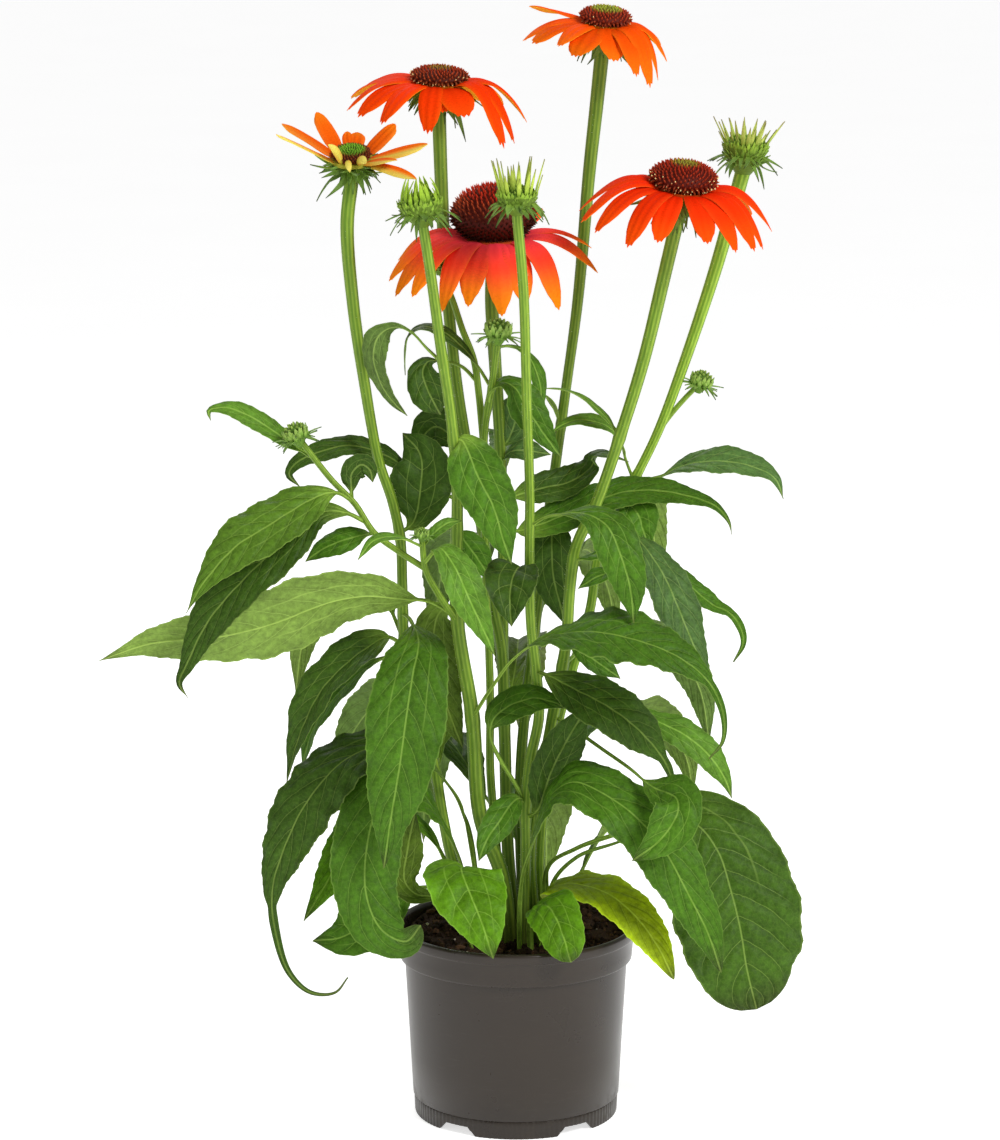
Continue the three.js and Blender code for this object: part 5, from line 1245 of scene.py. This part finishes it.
def dome_places(shape, count):
    """Places spread evenly by area over a dome: shares along its profile, and azimuths."""
    t = np.linspace(0, 1, 200)
    r, h = shape(t)
    area = np.r_[0, np.cumsum((r[1:] + r[:-1]) * np.hypot(np.diff(r), np.diff(h)))]
    shares = np.interp((np.arange(count) + 0.5) / count * area[-1], area, t)
    return shares, (np.arange(count) * GOLDEN_ANGLE) % 360


def add_dome(body, head, shape, count, length, breadth, tints, core, rng, pollen=0):
    """A core with spikes all over. tints(share) gives the colours of root, middle and tip. A
    share pollen of the lower spikes carries a pale grain near the tip."""
    r, h = shape(np.linspace(0, 1, 14))
    body.turned(head, zip(np.maximum(0.05, r - 0.4), h), core, sides=28)
    share, azimuth = dome_places(shape, count)
    r, h = shape(share)
    r1, h1 = shape(np.minimum(share + 0.02, 1))
    r0, h0 = shape(np.maximum(share - 0.02, 0))
    dr, dh = r1 - r0, h1 - h0
    ways = head.out(azimuth) * dh[:, None] + head.up * (-dr + UPWARD * np.abs(dh))[:, None]
    ways = unit(ways) + 0.12 * rng.normal(size=(count, 3))
    roots = head.place(azimuth, np.maximum(r - 0.5, 0), h)
    size = 0.85 + 0.3 * rng.random(count)
    scale = np.interp(share, [0, 0.8, 1], [1, 0.8, 0.55])
    level = (0.8 + 0.4 * rng.random(count))[:, None, None]
    a, b, c = tints(share)
    tones = (a[:, None] * level, b[:, None] * level, c * level[:, 0])
    body.spikes(roots, ways, length * size * scale, breadth * scale, tones, belly=0.45)
    dusted = (rng.random(count) < pollen) & (share < 0.4)
    if dusted.any():
        grains = roots + unit(ways) * (length * size * scale)[:, None] * 0.75
        grain = (0.5 + 0.4 * rng.random(count))[dusted]
        body.spikes(grains[dusted], ways[dusted], grain, grain, [POLLEN] * 3, belly=0.5)


def cone_shape(flower):
    """The profile of a cone, widest a little above its foot."""
    radius, height = flower["radius"], flower["height"]
    low = height * 0.34 + height * 0.66 * math.sin(-0.55)

    def shape(t):
        a = lerp(-0.55, 1.5, t)
        under = np.maximum(0, -np.sin(a))
        r = radius * np.cos(a) * (1 - 0.5 * under)
        return r, HUB + GAP + 0.1 + height * 0.34 + height * 0.66 * np.sin(a) - low

    return shape


# ---- flowers ----


PLAIN = dict(
    blunt=0,  # how wide the petals are near their tips, from 0 to 1
    shade=0,  # share of the cone that stays in its lowest colour
    rolled=0,  # a petal in front that reaches less far than this is rolled up
    pollen=0,  # share of the lower florets that carry a pale grain
)


def flower_look(petal, under, rows, tips, count, green, **more):
    """Petal colours at base, middle and tip, and the underside's at base and tip; the colours of
    the cone low down, at its middle and at its top, for the roots and for the tips of its florets;
    their number, and the share of the cone where they turn to the top colour."""
    cone = dict(rows=rows, tips=tips, count=count, green=green)
    return SimpleNamespace(petal=petal, under=under, **cone, **{**PLAIN, **more})


LOOKS = {
    "left": flower_look(
        ("ee5a0a", "f4640a", "f47c14"), ("ccc644", "ecd868"),
        ("3c1408", "5a2410", "4e8a1c"), ("7e3214", "96502a", "9ad040"),
        count=300, green=0.66, rolled=30,
    ),
    "tall": flower_look(
        ("ee3004", "f83a02", "f84a04"), ("e88a14", "f0a01c"),
        ("3a180a", "66200e", "7a3414"), ("a8602a", "d04422", "c8ac44"),
        count=360, green=0.86, blunt=0.9, pollen=0.5,
    ),
    "centre": flower_look(
        # these petal colours, lightest at the base, are partly the petals' own coral red and partly
        # painted light that lifts the cone's shade off them
        ("ff3c56", "fe4028", "f8860f"), ("e8642c", "f4982c"),
        ("260e06", "6e1c0c", "8e1e0e"), ("481a0c", "d85c2c", "ea4222"),
        count=600, green=0.5, blunt=0.1, shade=0.3,
    ),
    "top": flower_look(
        ("ee4804", "f85204", "f86e0c"), ("e89a1c", "f0a828"),
        ("461a0c", "7c2412", "7c8c28"), ("a04a20", "cc4422", "c4cc4c"),
        count=330, green=0.74, blunt=0.8, pollen=0.1,
    ),
    "right": flower_look(
        ("ee2404", "f63404", "f85006"), ("e8661c", "f0822c"),
        ("421408", "741c0c", "8a7a24"), ("b04c20", "da3a1e", "c4c848"),
        count=470, green=0.84, blunt=0.5, shade=0.1, pollen=0.5,
    ),
}


def three_stops(colours, share, middle=0.55, last=1.0):
    """A first colour that turns into the next by the share middle, and that one into the last."""
    a, b, c = (rgb(x) for x in colours)
    share = np.asarray(share)[..., None]
    return lerp(lerp(a, b, np.clip(share / middle, 0, 1)), c, smooth(share, middle, last))


PETAL_ROWS, PETAL_COLUMNS = 20, 13
PETAL_SHARES = [0, 0.15, 0.33, 0.5, 0.67, 0.85, 0.95, 1]
NARROW_WIDTHS = np.array([0.5, 0.76, 0.95, 1, 1, 0.84, 0.6, 0.34])
BLUNT_WIDTHS = np.array([0.5, 0.76, 0.95, 1, 1, 0.9, 0.75, 0.58])


def petal_line(spec, hub, layer, t):
    """Radius and height along a petal, a curve that leaves the hub at the angle rise."""
    _, reach, drop, rise = spec[:4]
    root_r, root_h = hub * 0.8, 1.9 if layer else 0.95
    run = math.hypot(reach - root_r, drop) * 0.55
    knee_r = root_r + run * math.cos(math.radians(rise))
    knee_h = root_h + run * math.sin(math.radians(rise))
    r = (1 - t) ** 2 * root_r + 2 * t * (1 - t) * knee_r + t**2 * reach
    h = (1 - t) ** 2 * root_h + 2 * t * (1 - t) * knee_h - t**2 * drop
    return r, h


def petal_tints(look, azimuth, t, u, rolled, rng):
    """Tints of the top and the underside. A flower with rolled petals shows more undersides."""
    level = 0.9 + 0.2 * rng.random()
    base, end = (rgb(c) for c in look.under)
    below = lerp(base, end, t[..., None]) * level
    over = three_stops(look.petal, t) * level
    over = lerp(over, end, (np.abs(u) ** 5)[..., None] * 0.12)
    if look.rolled:
        blush = (0.5 + 0.5 * np.cos(3 * np.pi * u + azimuth))[..., None] * smooth(t, 0.85, 0.2)[..., None]
        below = lerp(below, rgb(look.petal[0]), 0.45 * blush)
        to_front = -u * math.sin(math.radians(azimuth))
        turned = smooth(to_front, 0.0, 0.4) * smooth(abs(azimuth), 110, 85)
        over = lerp(over, below, 1 if rolled else 0.85 * turned[..., None])
    return over, below


def add_petal(body, head, hub, spec, width, layer, look, rng):
    """A petal with three lengthwise ridges and a toothed tip."""
    azimuth, reach = spec[:2]
    rolled = reach < look.rolled and abs(azimuth) < 60
    u = np.linspace(-1, 1, PETAL_COLUMNS)[None, :]
    s = np.linspace(0, 1, PETAL_ROWS)[:, None]
    notches = (0.005 + 0.018 * look.blunt) * (1 - np.cos(2 * np.pi * u / 0.62))
    t = s * (1 - 0.06 * u**2 - notches)
    side = head.out(azimuth + 90)
    centre = head.place(azimuth, *petal_line(spec, hub, layer, t))
    along = unit(np.gradient(centre, axis=0))
    normal = unit(np.cross(along, np.broadcast_to(side, along.shape)))
    half = width / 2 * np.interp(s, PETAL_SHARES, lerp(NARROW_WIDTHS, BLUNT_WIDTHS, look.blunt))
    twist = math.radians(9) * rng.normal() * s
    bend = 1.5 * rng.normal() * s**2
    ridge = 0.36 * np.cos(2 * np.pi * u / 0.66) * smooth(s, 0, 0.2) * smooth(s, 1.02, 0.85)
    cup = -0.13 * half * u**2 + 0.5 * np.sin(7 * s + 6 * rng.random()) * u * s
    across = u * half
    if rolled:
        tube = half * 0.5 * np.sqrt(np.maximum(1 - s**4, 0.03))
        across, cup, ridge = tube * np.sin(np.pi * u), tube * (1 - np.cos(np.pi * u)), 0
    flat = centre + side * (across * np.cos(twist) + bend)[..., None]
    lift = ridge + cup + across * np.sin(twist)
    top = flat + normal * (lift + 0.2)[..., None]
    under = flat + normal * (lift - 0.2)[..., None]
    own_streaks = across + 20 * layer + azimuth
    lays = np.stack(np.broadcast_arrays(u, t * reach, own_streaks), -1)
    body.sheet(top, under, *petal_tints(look, azimuth, t, u, rolled, rng), lays)


def make_petals(name, flower, head, look, rng):
    petals = Body()
    hub = flower["radius"] * flower["hub"]
    petals.turned(head, [(hub, GAP), (hub, HUB)], rgb(look.under[0]) * 0.6)
    for i, spec in enumerate(flower["petals"]):
        width = spec[4] if len(spec) > 4 else flower["petal_width"]
        add_petal(petals, head, hub, spec, width, i % 2, look, rng)
    petals.make("petals_" + name + "_ridged", PETAL, "petal", ["petals_" + name])


def make_cone(name, flower, head, look, rng):
    def tints(share):
        turn = (look.green - 0.1, look.green + 0.05)
        share = np.maximum(share - look.shade, 0) / (1 - look.shade)
        root = three_stops(look.rows, share, *turn)
        tip = three_stops(look.tips, share, *turn)
        return root, lerp(root, tip, 0.35), tip

    cone = Body()
    length = 1.6 + 0.08 * flower["height"]
    core = rgb(look.rows[1]) * 0.5
    shape = cone_shape(flower)
    add_dome(cone, head, shape, look.count, length, 1.7, tints, core, rng, pollen=look.pollen)
    cone.make("cone_" + name + "_florets", FLORET, "cone", ["cone_" + name])


def make_flower(name, flower, rng):
    head = Head(flower["centre"], flower["axis"])
    make_petals(name, flower, head, LOOKS[name], rng)
    make_cone(name, flower, head, LOOKS[name], rng)


# ---- young heads and buds ----

RAY_TONES = {
    "button": (rgb("567a1a"), rgb("98bc34"), rgb("b4d04c")),
    "spiky": (rgb("86a82e"), rgb("b4c850"), rgb("7c7a40")),
    "fan": (rgb("7c9c2c"), rgb("b4c25c"), rgb("8c8450")),
}
YOUNG_FLORETS, YOUNG_CORE = ("4c701e", "a0bc48"), rgb("5c7f26")
BUD_FLORETS, BUD_CORE, BUD_CUP = ("55792a", "a5bf5c"), rgb("4e7224"), rgb("6b8f36")
SMALL_BRACT_TONES = (rgb("6a8f38"), rgb("7ea04a"), rgb("34502a"))
SCALE_TONES = (rgb("6f9a34"), rgb("9aba58"), rgb("6a8a44"))


def make_young_head(name, spec, draw, rng):
    """A young head: a low dome of green points inside rings of narrow rays."""
    head = Head(spec["centre"], spec["axis"])
    radius, curl, count = spec["radius"], spec["curl"], spec["rays"]
    body = Body()

    def shape(t):
        return radius * np.cos(1.4 * t) * 0.92, 0.1 + radius * 0.5 * np.sin(1.4 * t)

    def add_ray(azimuth, r, length, breadth, level, rows, pointed):
        way = head.up + head.out(azimuth) * (spec["spread"] * r / radius)
        root = head.place(azimuth, r, 0.5)
        length = spec["ray_length"] * length
        tones = at_level(RAY_TONES[name], level)
        add_strap(body, root, way, -head.out(azimuth), length, breadth, curl, tones, rows, pointed)

    add_dome(body, head, shape, 90, 2.4, 2.2, plain_tints(*YOUNG_FLORETS), YOUNG_CORE, rng)
    breadth, pointed = (2.3, 0.7) if curl else (2.8, 0.4)
    for i in range(count):
        azimuth = 360 * (i + 0.5 * draw()) / count
        r = radius * (0.5 if i % 3 == 2 else 0.84)
        add_ray(azimuth, r, 0.8 + 0.3 * draw(), breadth, 0.9 + 0.2 * rng.random(), 9, pointed)
    extra = round((1.6 if curl else 0.6) * count)
    for i in range(extra):
        azimuth = 360 * (i + 0.6 * rng.random()) / extra
        r = radius * (0.62 + 0.3 * rng.random())
        add_ray(azimuth, r, 0.4 + 0.4 * rng.random(), 2.3, 0.85 + 0.3 * rng.random(), 7, 0.5)
    body.make("bud_" + name + "_rays", FLORET, "bud", ["bud_" + name])


def add_small_bud(body, centre, axis, radius, draw, rng):
    """A small green knob of points with a collar of bracts."""
    head = Head(centre, axis)

    def shape(t):
        return radius * np.cos(1.45 * t), radius * np.sin(1.45 * t)

    tints = plain_tints(*BUD_FLORETS)
    add_dome(body, head, shape, 46, radius * 0.34, radius * 0.36, tints, BUD_CORE, rng)
    cup = [(1.6, -radius * 1.1), (radius * 0.6, -radius * 0.6), (radius, 0), (radius * 0.9, 0.4)]
    body.turned(head, cup, BUD_CUP, sides=20)
    count = 8 if radius > 6 else 5
    for i in range(count):
        azimuth = 360 * (i + 0.4 * draw()) / count
        way = head.out(azimuth) + head.up * (0.4 - 0.6 * (i % 2) - 0.3 * draw())
        root = head.place(azimuth, radius * 0.6, -radius * 0.2)
        add_strap(body, root, way, head.up, radius * 1.7, 2.2, -0.08, SMALL_BRACT_TONES)
    for i in range(2 * count):
        azimuth = 180 * (i + 0.6 * rng.random()) / count
        way = head.out(azimuth) + head.up * (0.3 - 0.8 * rng.random())
        root = head.place(azimuth, radius * 0.7, -radius * 0.35)
        length = radius * (1 + 0.4 * rng.random())
        add_strap(body, root, way, head.up, length, 1.8, -0.1, SMALL_BRACT_TONES, rows=5)
    for row, share in enumerate((0.1, 0.45)):
        for i in range(12):
            azimuth = 30 * (i + 0.5 * row + 0.4 * rng.random())
            root = head.place(azimuth, radius * (1 - 0.2 * share), -radius * share)
            way = head.up + head.out(azimuth) * (0.3 + 0.4 * share)
            inward = -head.out(azimuth)
            add_strap(body, root, way, inward, radius * 0.9, radius * 0.4, 0.2, SCALE_TONES, rows=5)


# ---- stems with what grows on them ----

STEM_LEVELS = dict(tall=0.85, centre=0.85, top=0.8, spiky=1.1, fan=1.25)  # lightness, where not 1
HAIRS = 420  # on each stem


def add_leaves(body, stalk, curve, draw, rng):
    for spec in stalk.leaves:
        start = curve.at(curve.share_at_height(spec["start"]))
        add_leaf(body, [start, *spec["path"]], spec, 6 * draw(), rng)


def make_stem(name, stem, draw, rng):
    stalks, leaves, bracts, hairs = Body(), Body(), Body(), Body()
    curve = stem_curve(stem)
    joints = [spec["start"] for spec in stem.leaves]
    level = STEM_LEVELS.get(name, 1)
    add_stalk(stalks, curve, stem.radii, joints, RIB_LIGHT * level, RIB_DARK * level)
    add_hairs(hairs, curve, stem.radii, HAIRS, rng)
    add_leaves(leaves, stem, curve, draw, rng)
    curves = {stem: curve}
    for shoot in stem.shoots:
        parent = curves[shoot.parent]
        start = parent.at(parent.share_at_height(shoot.start))
        curves[shoot] = side = Curve([start, *shoot.path])
        add_stalk(stalks, side, shoot.radii, spacing=4, sides=24)
        add_leaves(leaves, shoot, side, draw, rng)
        if shoot.bud:
            add_small_bud(bracts, side.at(1.0), *shoot.bud, draw, rng)
    if stem.bud:
        add_small_bud(bracts, curve.at(1.0), *stem.bud, draw, rng)
    if stem.head:
        head = Head(stem.head["centre"], stem.head["axis"])
        add_calyx(bracts, head, stem.radii[-1] + 0.2, stem.head, draw, rng)
    node = ["stem_" + name]
    stalks.make("stalk_" + name, STEM, "stem", node)
    leaves.make("leaves_" + name, LEAF, "leaf", node)
    bracts.make("bracts_" + name, FLORET, "stem", node)
    hairs.make("hairs_" + name, HAIR, "stem", node)
    if stem.head and "petals" in stem.head:
        make_flower(name, stem.head, rng)
    elif stem.head:
        make_young_head(name, stem.head, draw, rng)


def make_root_leaf(name, spec, draw, rng):
    body = Body()
    points = underground(spec["start"], PETIOLE_DEPTH) + spec["path"]
    add_leaf(body, points, spec, 6 * draw(), rng, stalk=ROOT_PETIOLE_WIDTH, most=11, inward=0.15)
    body.make("leaf_" + name, LEAF, "leaf", ["root_leaf_" + name])


# ---- the pot and the soil ----

POT_TINT, PEAT, PALE_SPECK = rgb("302820"), rgb("35241a"), rgb("d8cdb8")
BARK = (rgb("20150e"), rgb("5a3f2a"))  # darkest and lightest crumb
POT_COLUMNS = 480
BEAD = 1.9  # radius of the lip's round edge
NOTCH_DEGREES = (7.5, 5)  # half of a notch where it is highest, and its sloping side
LUMPS = ((23, 1.3), (11, 0.8), (6, 0.5), (3.4, 0.35))  # size and height of the soil's waves
CRUMBS, SPECKS = 900, 46
GOLDEN = (1 + 5**0.5) / 2
CORNERS = [  # of an icosahedron, and its triangles
    (-1, GOLDEN, 0), (1, GOLDEN, 0), (-1, -GOLDEN, 0), (1, -GOLDEN, 0), (0, -1, GOLDEN), (0, 1, GOLDEN),
    (0, -1, -GOLDEN), (0, 1, -GOLDEN), (GOLDEN, 0, -1), (GOLDEN, 0, 1), (-GOLDEN, 0, -1), (-GOLDEN, 0, 1),
]
TRIANGLES = [
    (0, 11, 5), (0, 5, 1), (0, 1, 7), (0, 7, 10), (0, 10, 11), (1, 5, 9), (5, 11, 4), (11, 10, 2),
    (10, 7, 6), (7, 1, 8), (3, 9, 4), (3, 4, 2), (3, 2, 6), (3, 6, 8), (3, 8, 9), (4, 9, 5), (2, 4, 11),
    (6, 2, 10), (8, 6, 7), (9, 8, 1),
]


def arc(centre, radius, start, end, count):
    """Points of an arc in the plane of radius and height, its angles in degrees."""
    a = np.radians(np.linspace(start, end, count))
    return [(centre[0] + radius * math.cos(x), centre[1] + radius * math.sin(x)) for x in a]


def pot_profile():
    """Radius and height from the middle of the base round the wall to the middle of the floor."""
    groove = POT.height - POT.collar_height
    foot, inner_foot = POT.foot_radius, POT.foot_radius - POT.wall
    top, low, collar, rim = POT.body_top_radius, POT.body_foot_radius, POT.collar_radius, POT.rim_radius
    band, lip, inside_floor = POT.foot_height, POT.height - POT.lip_height, POT.floor + POT.wall
    outside = [
        (foot, 0), (foot + 0.15, 3), (foot + 0.3, 7), (foot + 0.4, band - 0.6), (foot + 0.1, band),
        (low - 0.5, band + 0.4), (low + 0.1, band + 1.2),
        (lerp(low, top, 0.33), lerp(band, groove, 0.33)), (lerp(low, top, 0.67), lerp(band, groove, 0.67)),
        (top - 0.1, groove - 3), (top, groove - 1.2), (top + 0.4, groove - 0.8),
        (collar - 1.6, groove - 0.4), (collar - 1.1, groove), (collar - 0.9, groove + 0.8),
        (collar - 0.5, groove + 6), (collar - 0.1, lip - 1.6), (collar + 0.1, lip - 0.9),
        (rim - 1.0, lip - 0.3), (rim - 0.25, lip), (rim, lip + 0.8),
    ]
    bead = arc((rim - BEAD, POT.height - BEAD), BEAD, 0, 110, 9)
    inside = [
        (rim - 3.5, POT.height - 0.4), (rim - 4.2, POT.height - 1.6), (rim - 4.6, POT.height - 4),
        (collar - POT.wall - 1.4, POT.height - 8), (top - POT.wall, groove - 4),
        (inner_foot, inside_floor), (20, inside_floor), (4, inside_floor),
    ]
    base = [
        (4, 0), (POT.pad - 0.4, 0), (POT.pad, 0.4), (POT.pad + 1, POT.floor),
        (inner_foot - 0.6, POT.floor), (inner_foot, 0),
    ]
    return base + outside + bead + inside


def make_pot():
    azimuth = 360 * np.arange(POT_COLUMNS) / POT_COLUMNS
    step = 360 / POT.feet
    from_notch = step / 2 - np.minimum(azimuth % step, step - azimuth % step)
    half_notch, slope = NOTCH_DEGREES
    notch = POT.notch_height * (1 - np.clip((from_notch - half_notch) / slope, 0, 1))
    flutes = POT.flute_depth * (0.5 - 0.5 * np.cos(np.radians(azimuth * POT.flutes)))
    a = np.radians(azimuth)
    rows = []
    for r, z in pot_profile():
        on_foot = abs(r - POT.foot_radius) < 2 and z <= POT.foot_height
        outer = on_foot and r >= POT.foot_radius - 0.01
        reach = r - flutes if outer else np.full(POT_COLUMNS, r)
        near_ground = on_foot and z < POT.notch_height + 0.5
        height = np.maximum(z, notch) if near_ground else np.full(POT_COLUMNS, z)
        rows.append(np.stack([reach * np.sin(a), -reach * np.cos(a), height], -1))
    body = Body()
    body.skin(np.array(rows), POT_TINT)
    body.make("pot_moulding", PLASTIC, "pot", ["pot"], crease=40)


def soil_top(x, y):
    """Height of the soil: level at the crown, and raised to the back."""
    r, sine = np.hypot(x, y), y / np.maximum(np.hypot(x, y), 1e-6)
    slope = lerp(SOIL.front, SOIL.back, (y + 70) / 140)
    level = slope + SOIL.mound * np.maximum(0, sine) * np.sin(np.pi * r / 75)
    return lerp(CROWN, level, smooth(r, 28, 55))


def lumps(x, y, rng):
    """Gentle unevenness, the sum of waves of several sizes and directions."""
    total = 0 * x
    for size, height in LUMPS:
        for _ in range(3):
            turn = 2 * np.pi * rng.random()
            wave = (x * math.cos(turn) + y * math.sin(turn)) * 2 * np.pi / size
            total = total + height / 2 * np.sin(wave + 6 * rng.random())
    return total


def make_soil_surface(rng):
    azimuth = np.linspace(0, 2 * np.pi, 160, endpoint=False)
    radii = SOIL.radius * np.linspace(1, 0.02, 46)
    x, y = radii[:, None] * np.cos(azimuth), radii[:, None] * np.sin(azimuth)
    z = soil_top(x, y) + lumps(x, y, rng) * smooth(radii, SOIL.radius, SOIL.radius - 4)[:, None]
    low = np.stack([0.9 * x[0], 0.9 * y[0], 0 * azimuth + POT.floor + POT.wall + GAP], -1)
    middle = np.stack([0.985 * x[0], 0.985 * y[0], z[0] - 12], -1)
    body = Body()
    body.skin(np.concatenate([low[None], middle[None], np.stack([x, y, z], -1)]), PEAT)
    body.make("soil_surface", SOIL_MIX, "soil", ["soil"])


def make_crumbs(rng):
    """Crumbs of bark and pale specks on the soil: stretched and dented icosahedra."""
    total = CRUMBS + SPECKS
    r = SOIL.radius * 0.97 * np.sqrt(rng.random(total))
    turn = 2 * np.pi * rng.random(total)
    x, y = r * np.cos(turn), r * np.sin(turn)
    size = 0.7 + 2.1 * rng.random(total) ** 2.2
    size[CRUMBS:] = 0.35 + 0.6 * rng.random(SPECKS)
    centre = np.stack([x, y, soil_top(x, y) + 0.5 + 0.3 * size], -1)
    stretch = 0.6 + 0.9 * rng.random((total, 1, 3))
    shape = unit(CORNERS)[None] * stretch * (0.75 + 0.5 * rng.random((total, 12, 1)))
    points = centre[:, None] + shape * size[:, None, None]
    brown = lerp(*BARK, rng.random((total, 1, 1)) ** 2)
    pale = PALE_SPECK * (0.7 + 0.3 * rng.random((total, 1, 1)))
    tint = np.where((np.arange(total) >= CRUMBS)[:, None, None], pale, brown)
    crumbs = Body()
    at = crumbs.add(points, np.broadcast_to(tint, points.shape))
    crumbs.faces.append(at[:, np.array(TRIANGLES)].reshape(-1, 3))
    crumbs.make("soil_crumbs", SOIL_MIX, "soil", ["soil"], crease=25)


# ---- the stage: floor, light and camera ----

CAMERA_PLACE = (-0.010, -2.5, 0.84)
CAMERA_PITCH = 11.2  # degrees down
LENS, SENSOR = 130.96, 36
FLOOR_HALF = 30
FLOOR_WHITE, FLOOR_GLOW = (0.93, 0.93, 0.93), 0.7
WORLD_GLOW = 0.35
LAMPS = (  # name, place, what it shines at, size and power
    ("key", (1.3, -1.5, 1.9), (0, 0, 0.35), 0.8, 41),
    ("fill", (-1.8, -1.2, 1.0), (0, 0, 0.35), 1.4, 4),
    ("rim", (-0.5, 1.6, 1.7), (0, 0, 0.4), 1.0, 14),
)


def make_floor():
    """A white floor that glows a little, so that it runs into the white behind it."""
    n = Nodes("floor_pale")
    white = n.shade(FLOOR_WHITE, n.around(n.noise(3, 2), 0.02, 0.98))
    n.link(white, n.shader.inputs["Emission Color"])
    n.shader.inputs["Emission Strength"].default_value = FLOOR_GLOW
    mesh = bpy.data.meshes.new("floor")
    corners = [(x * FLOOR_HALF, y * FLOOR_HALF, 0) for x, y in ((-1, -1), (1, -1), (1, 1), (-1, 1))]
    mesh.from_pydata(corners, [], [(0, 1, 2, 3)])
    mesh.materials.append(n.finish(white, 0.7, 0.1))
    floor = placed("floor", mesh)


def make_world():
    """Soft white light from all round."""
    world = bpy.data.worlds.new("soft_white")
    world.use_nodes = True
    background = world.node_tree.nodes["Background"]
    background.inputs["Color"].default_value = (1, 1, 1, 1)
    background.inputs["Strength"].default_value = WORLD_GLOW
    bpy.context.scene.world = world


def make_lamp(name, place, aim, size, power):
    light = bpy.data.lights.new(name, "AREA")
    light.energy, light.size = power, size
    x, y, z = np.array(aim) - np.array(place)
    tilt = math.atan2(z, math.hypot(x, y))
    placed(name, light, place, (math.pi / 2 + tilt, 0, math.atan2(-x, y)))


def make_camera():
    camera = bpy.data.cameras.new("camera")
    camera.lens, camera.sensor_width = LENS, SENSOR
    turn = (math.radians(90 - CAMERA_PITCH), 0, 0)
    bpy.context.scene.camera = placed("camera", camera, CAMERA_PLACE, turn)
    bpy.context.scene.view_settings.view_transform = "Standard"


# ---- the whole plant ----

SOIL_SEED, PLANT_SEED, STEM_SEED, ROOT_LEAF_SEED = 3, 7, 20, 60

LEAF, STEM, PETAL = leaf_material(), stem_material(), petal_material()
FLORET, HAIR = floret_material(), hair_material()
PLASTIC, SOIL_MIX = pot_material(), soil_material()

make_floor()
make_world()
for lamp in LAMPS:
    make_lamp(*lamp)
make_camera()
make_pot()
soil_rng = np.random.default_rng(SOIL_SEED)
make_soil_surface(soil_rng)
make_crumbs(soil_rng)
plant_draw = draws(PLANT_SEED)
for index, (name, stalk) in enumerate(STEMS.items()):
    make_stem(name, stalk, plant_draw, np.random.default_rng(STEM_SEED + index))
for index, (name, spec) in enumerate(ROOT_LEAVES.items()):
    make_root_leaf(name, spec, plant_draw, np.random.default_rng(ROOT_LEAF_SEED + index))
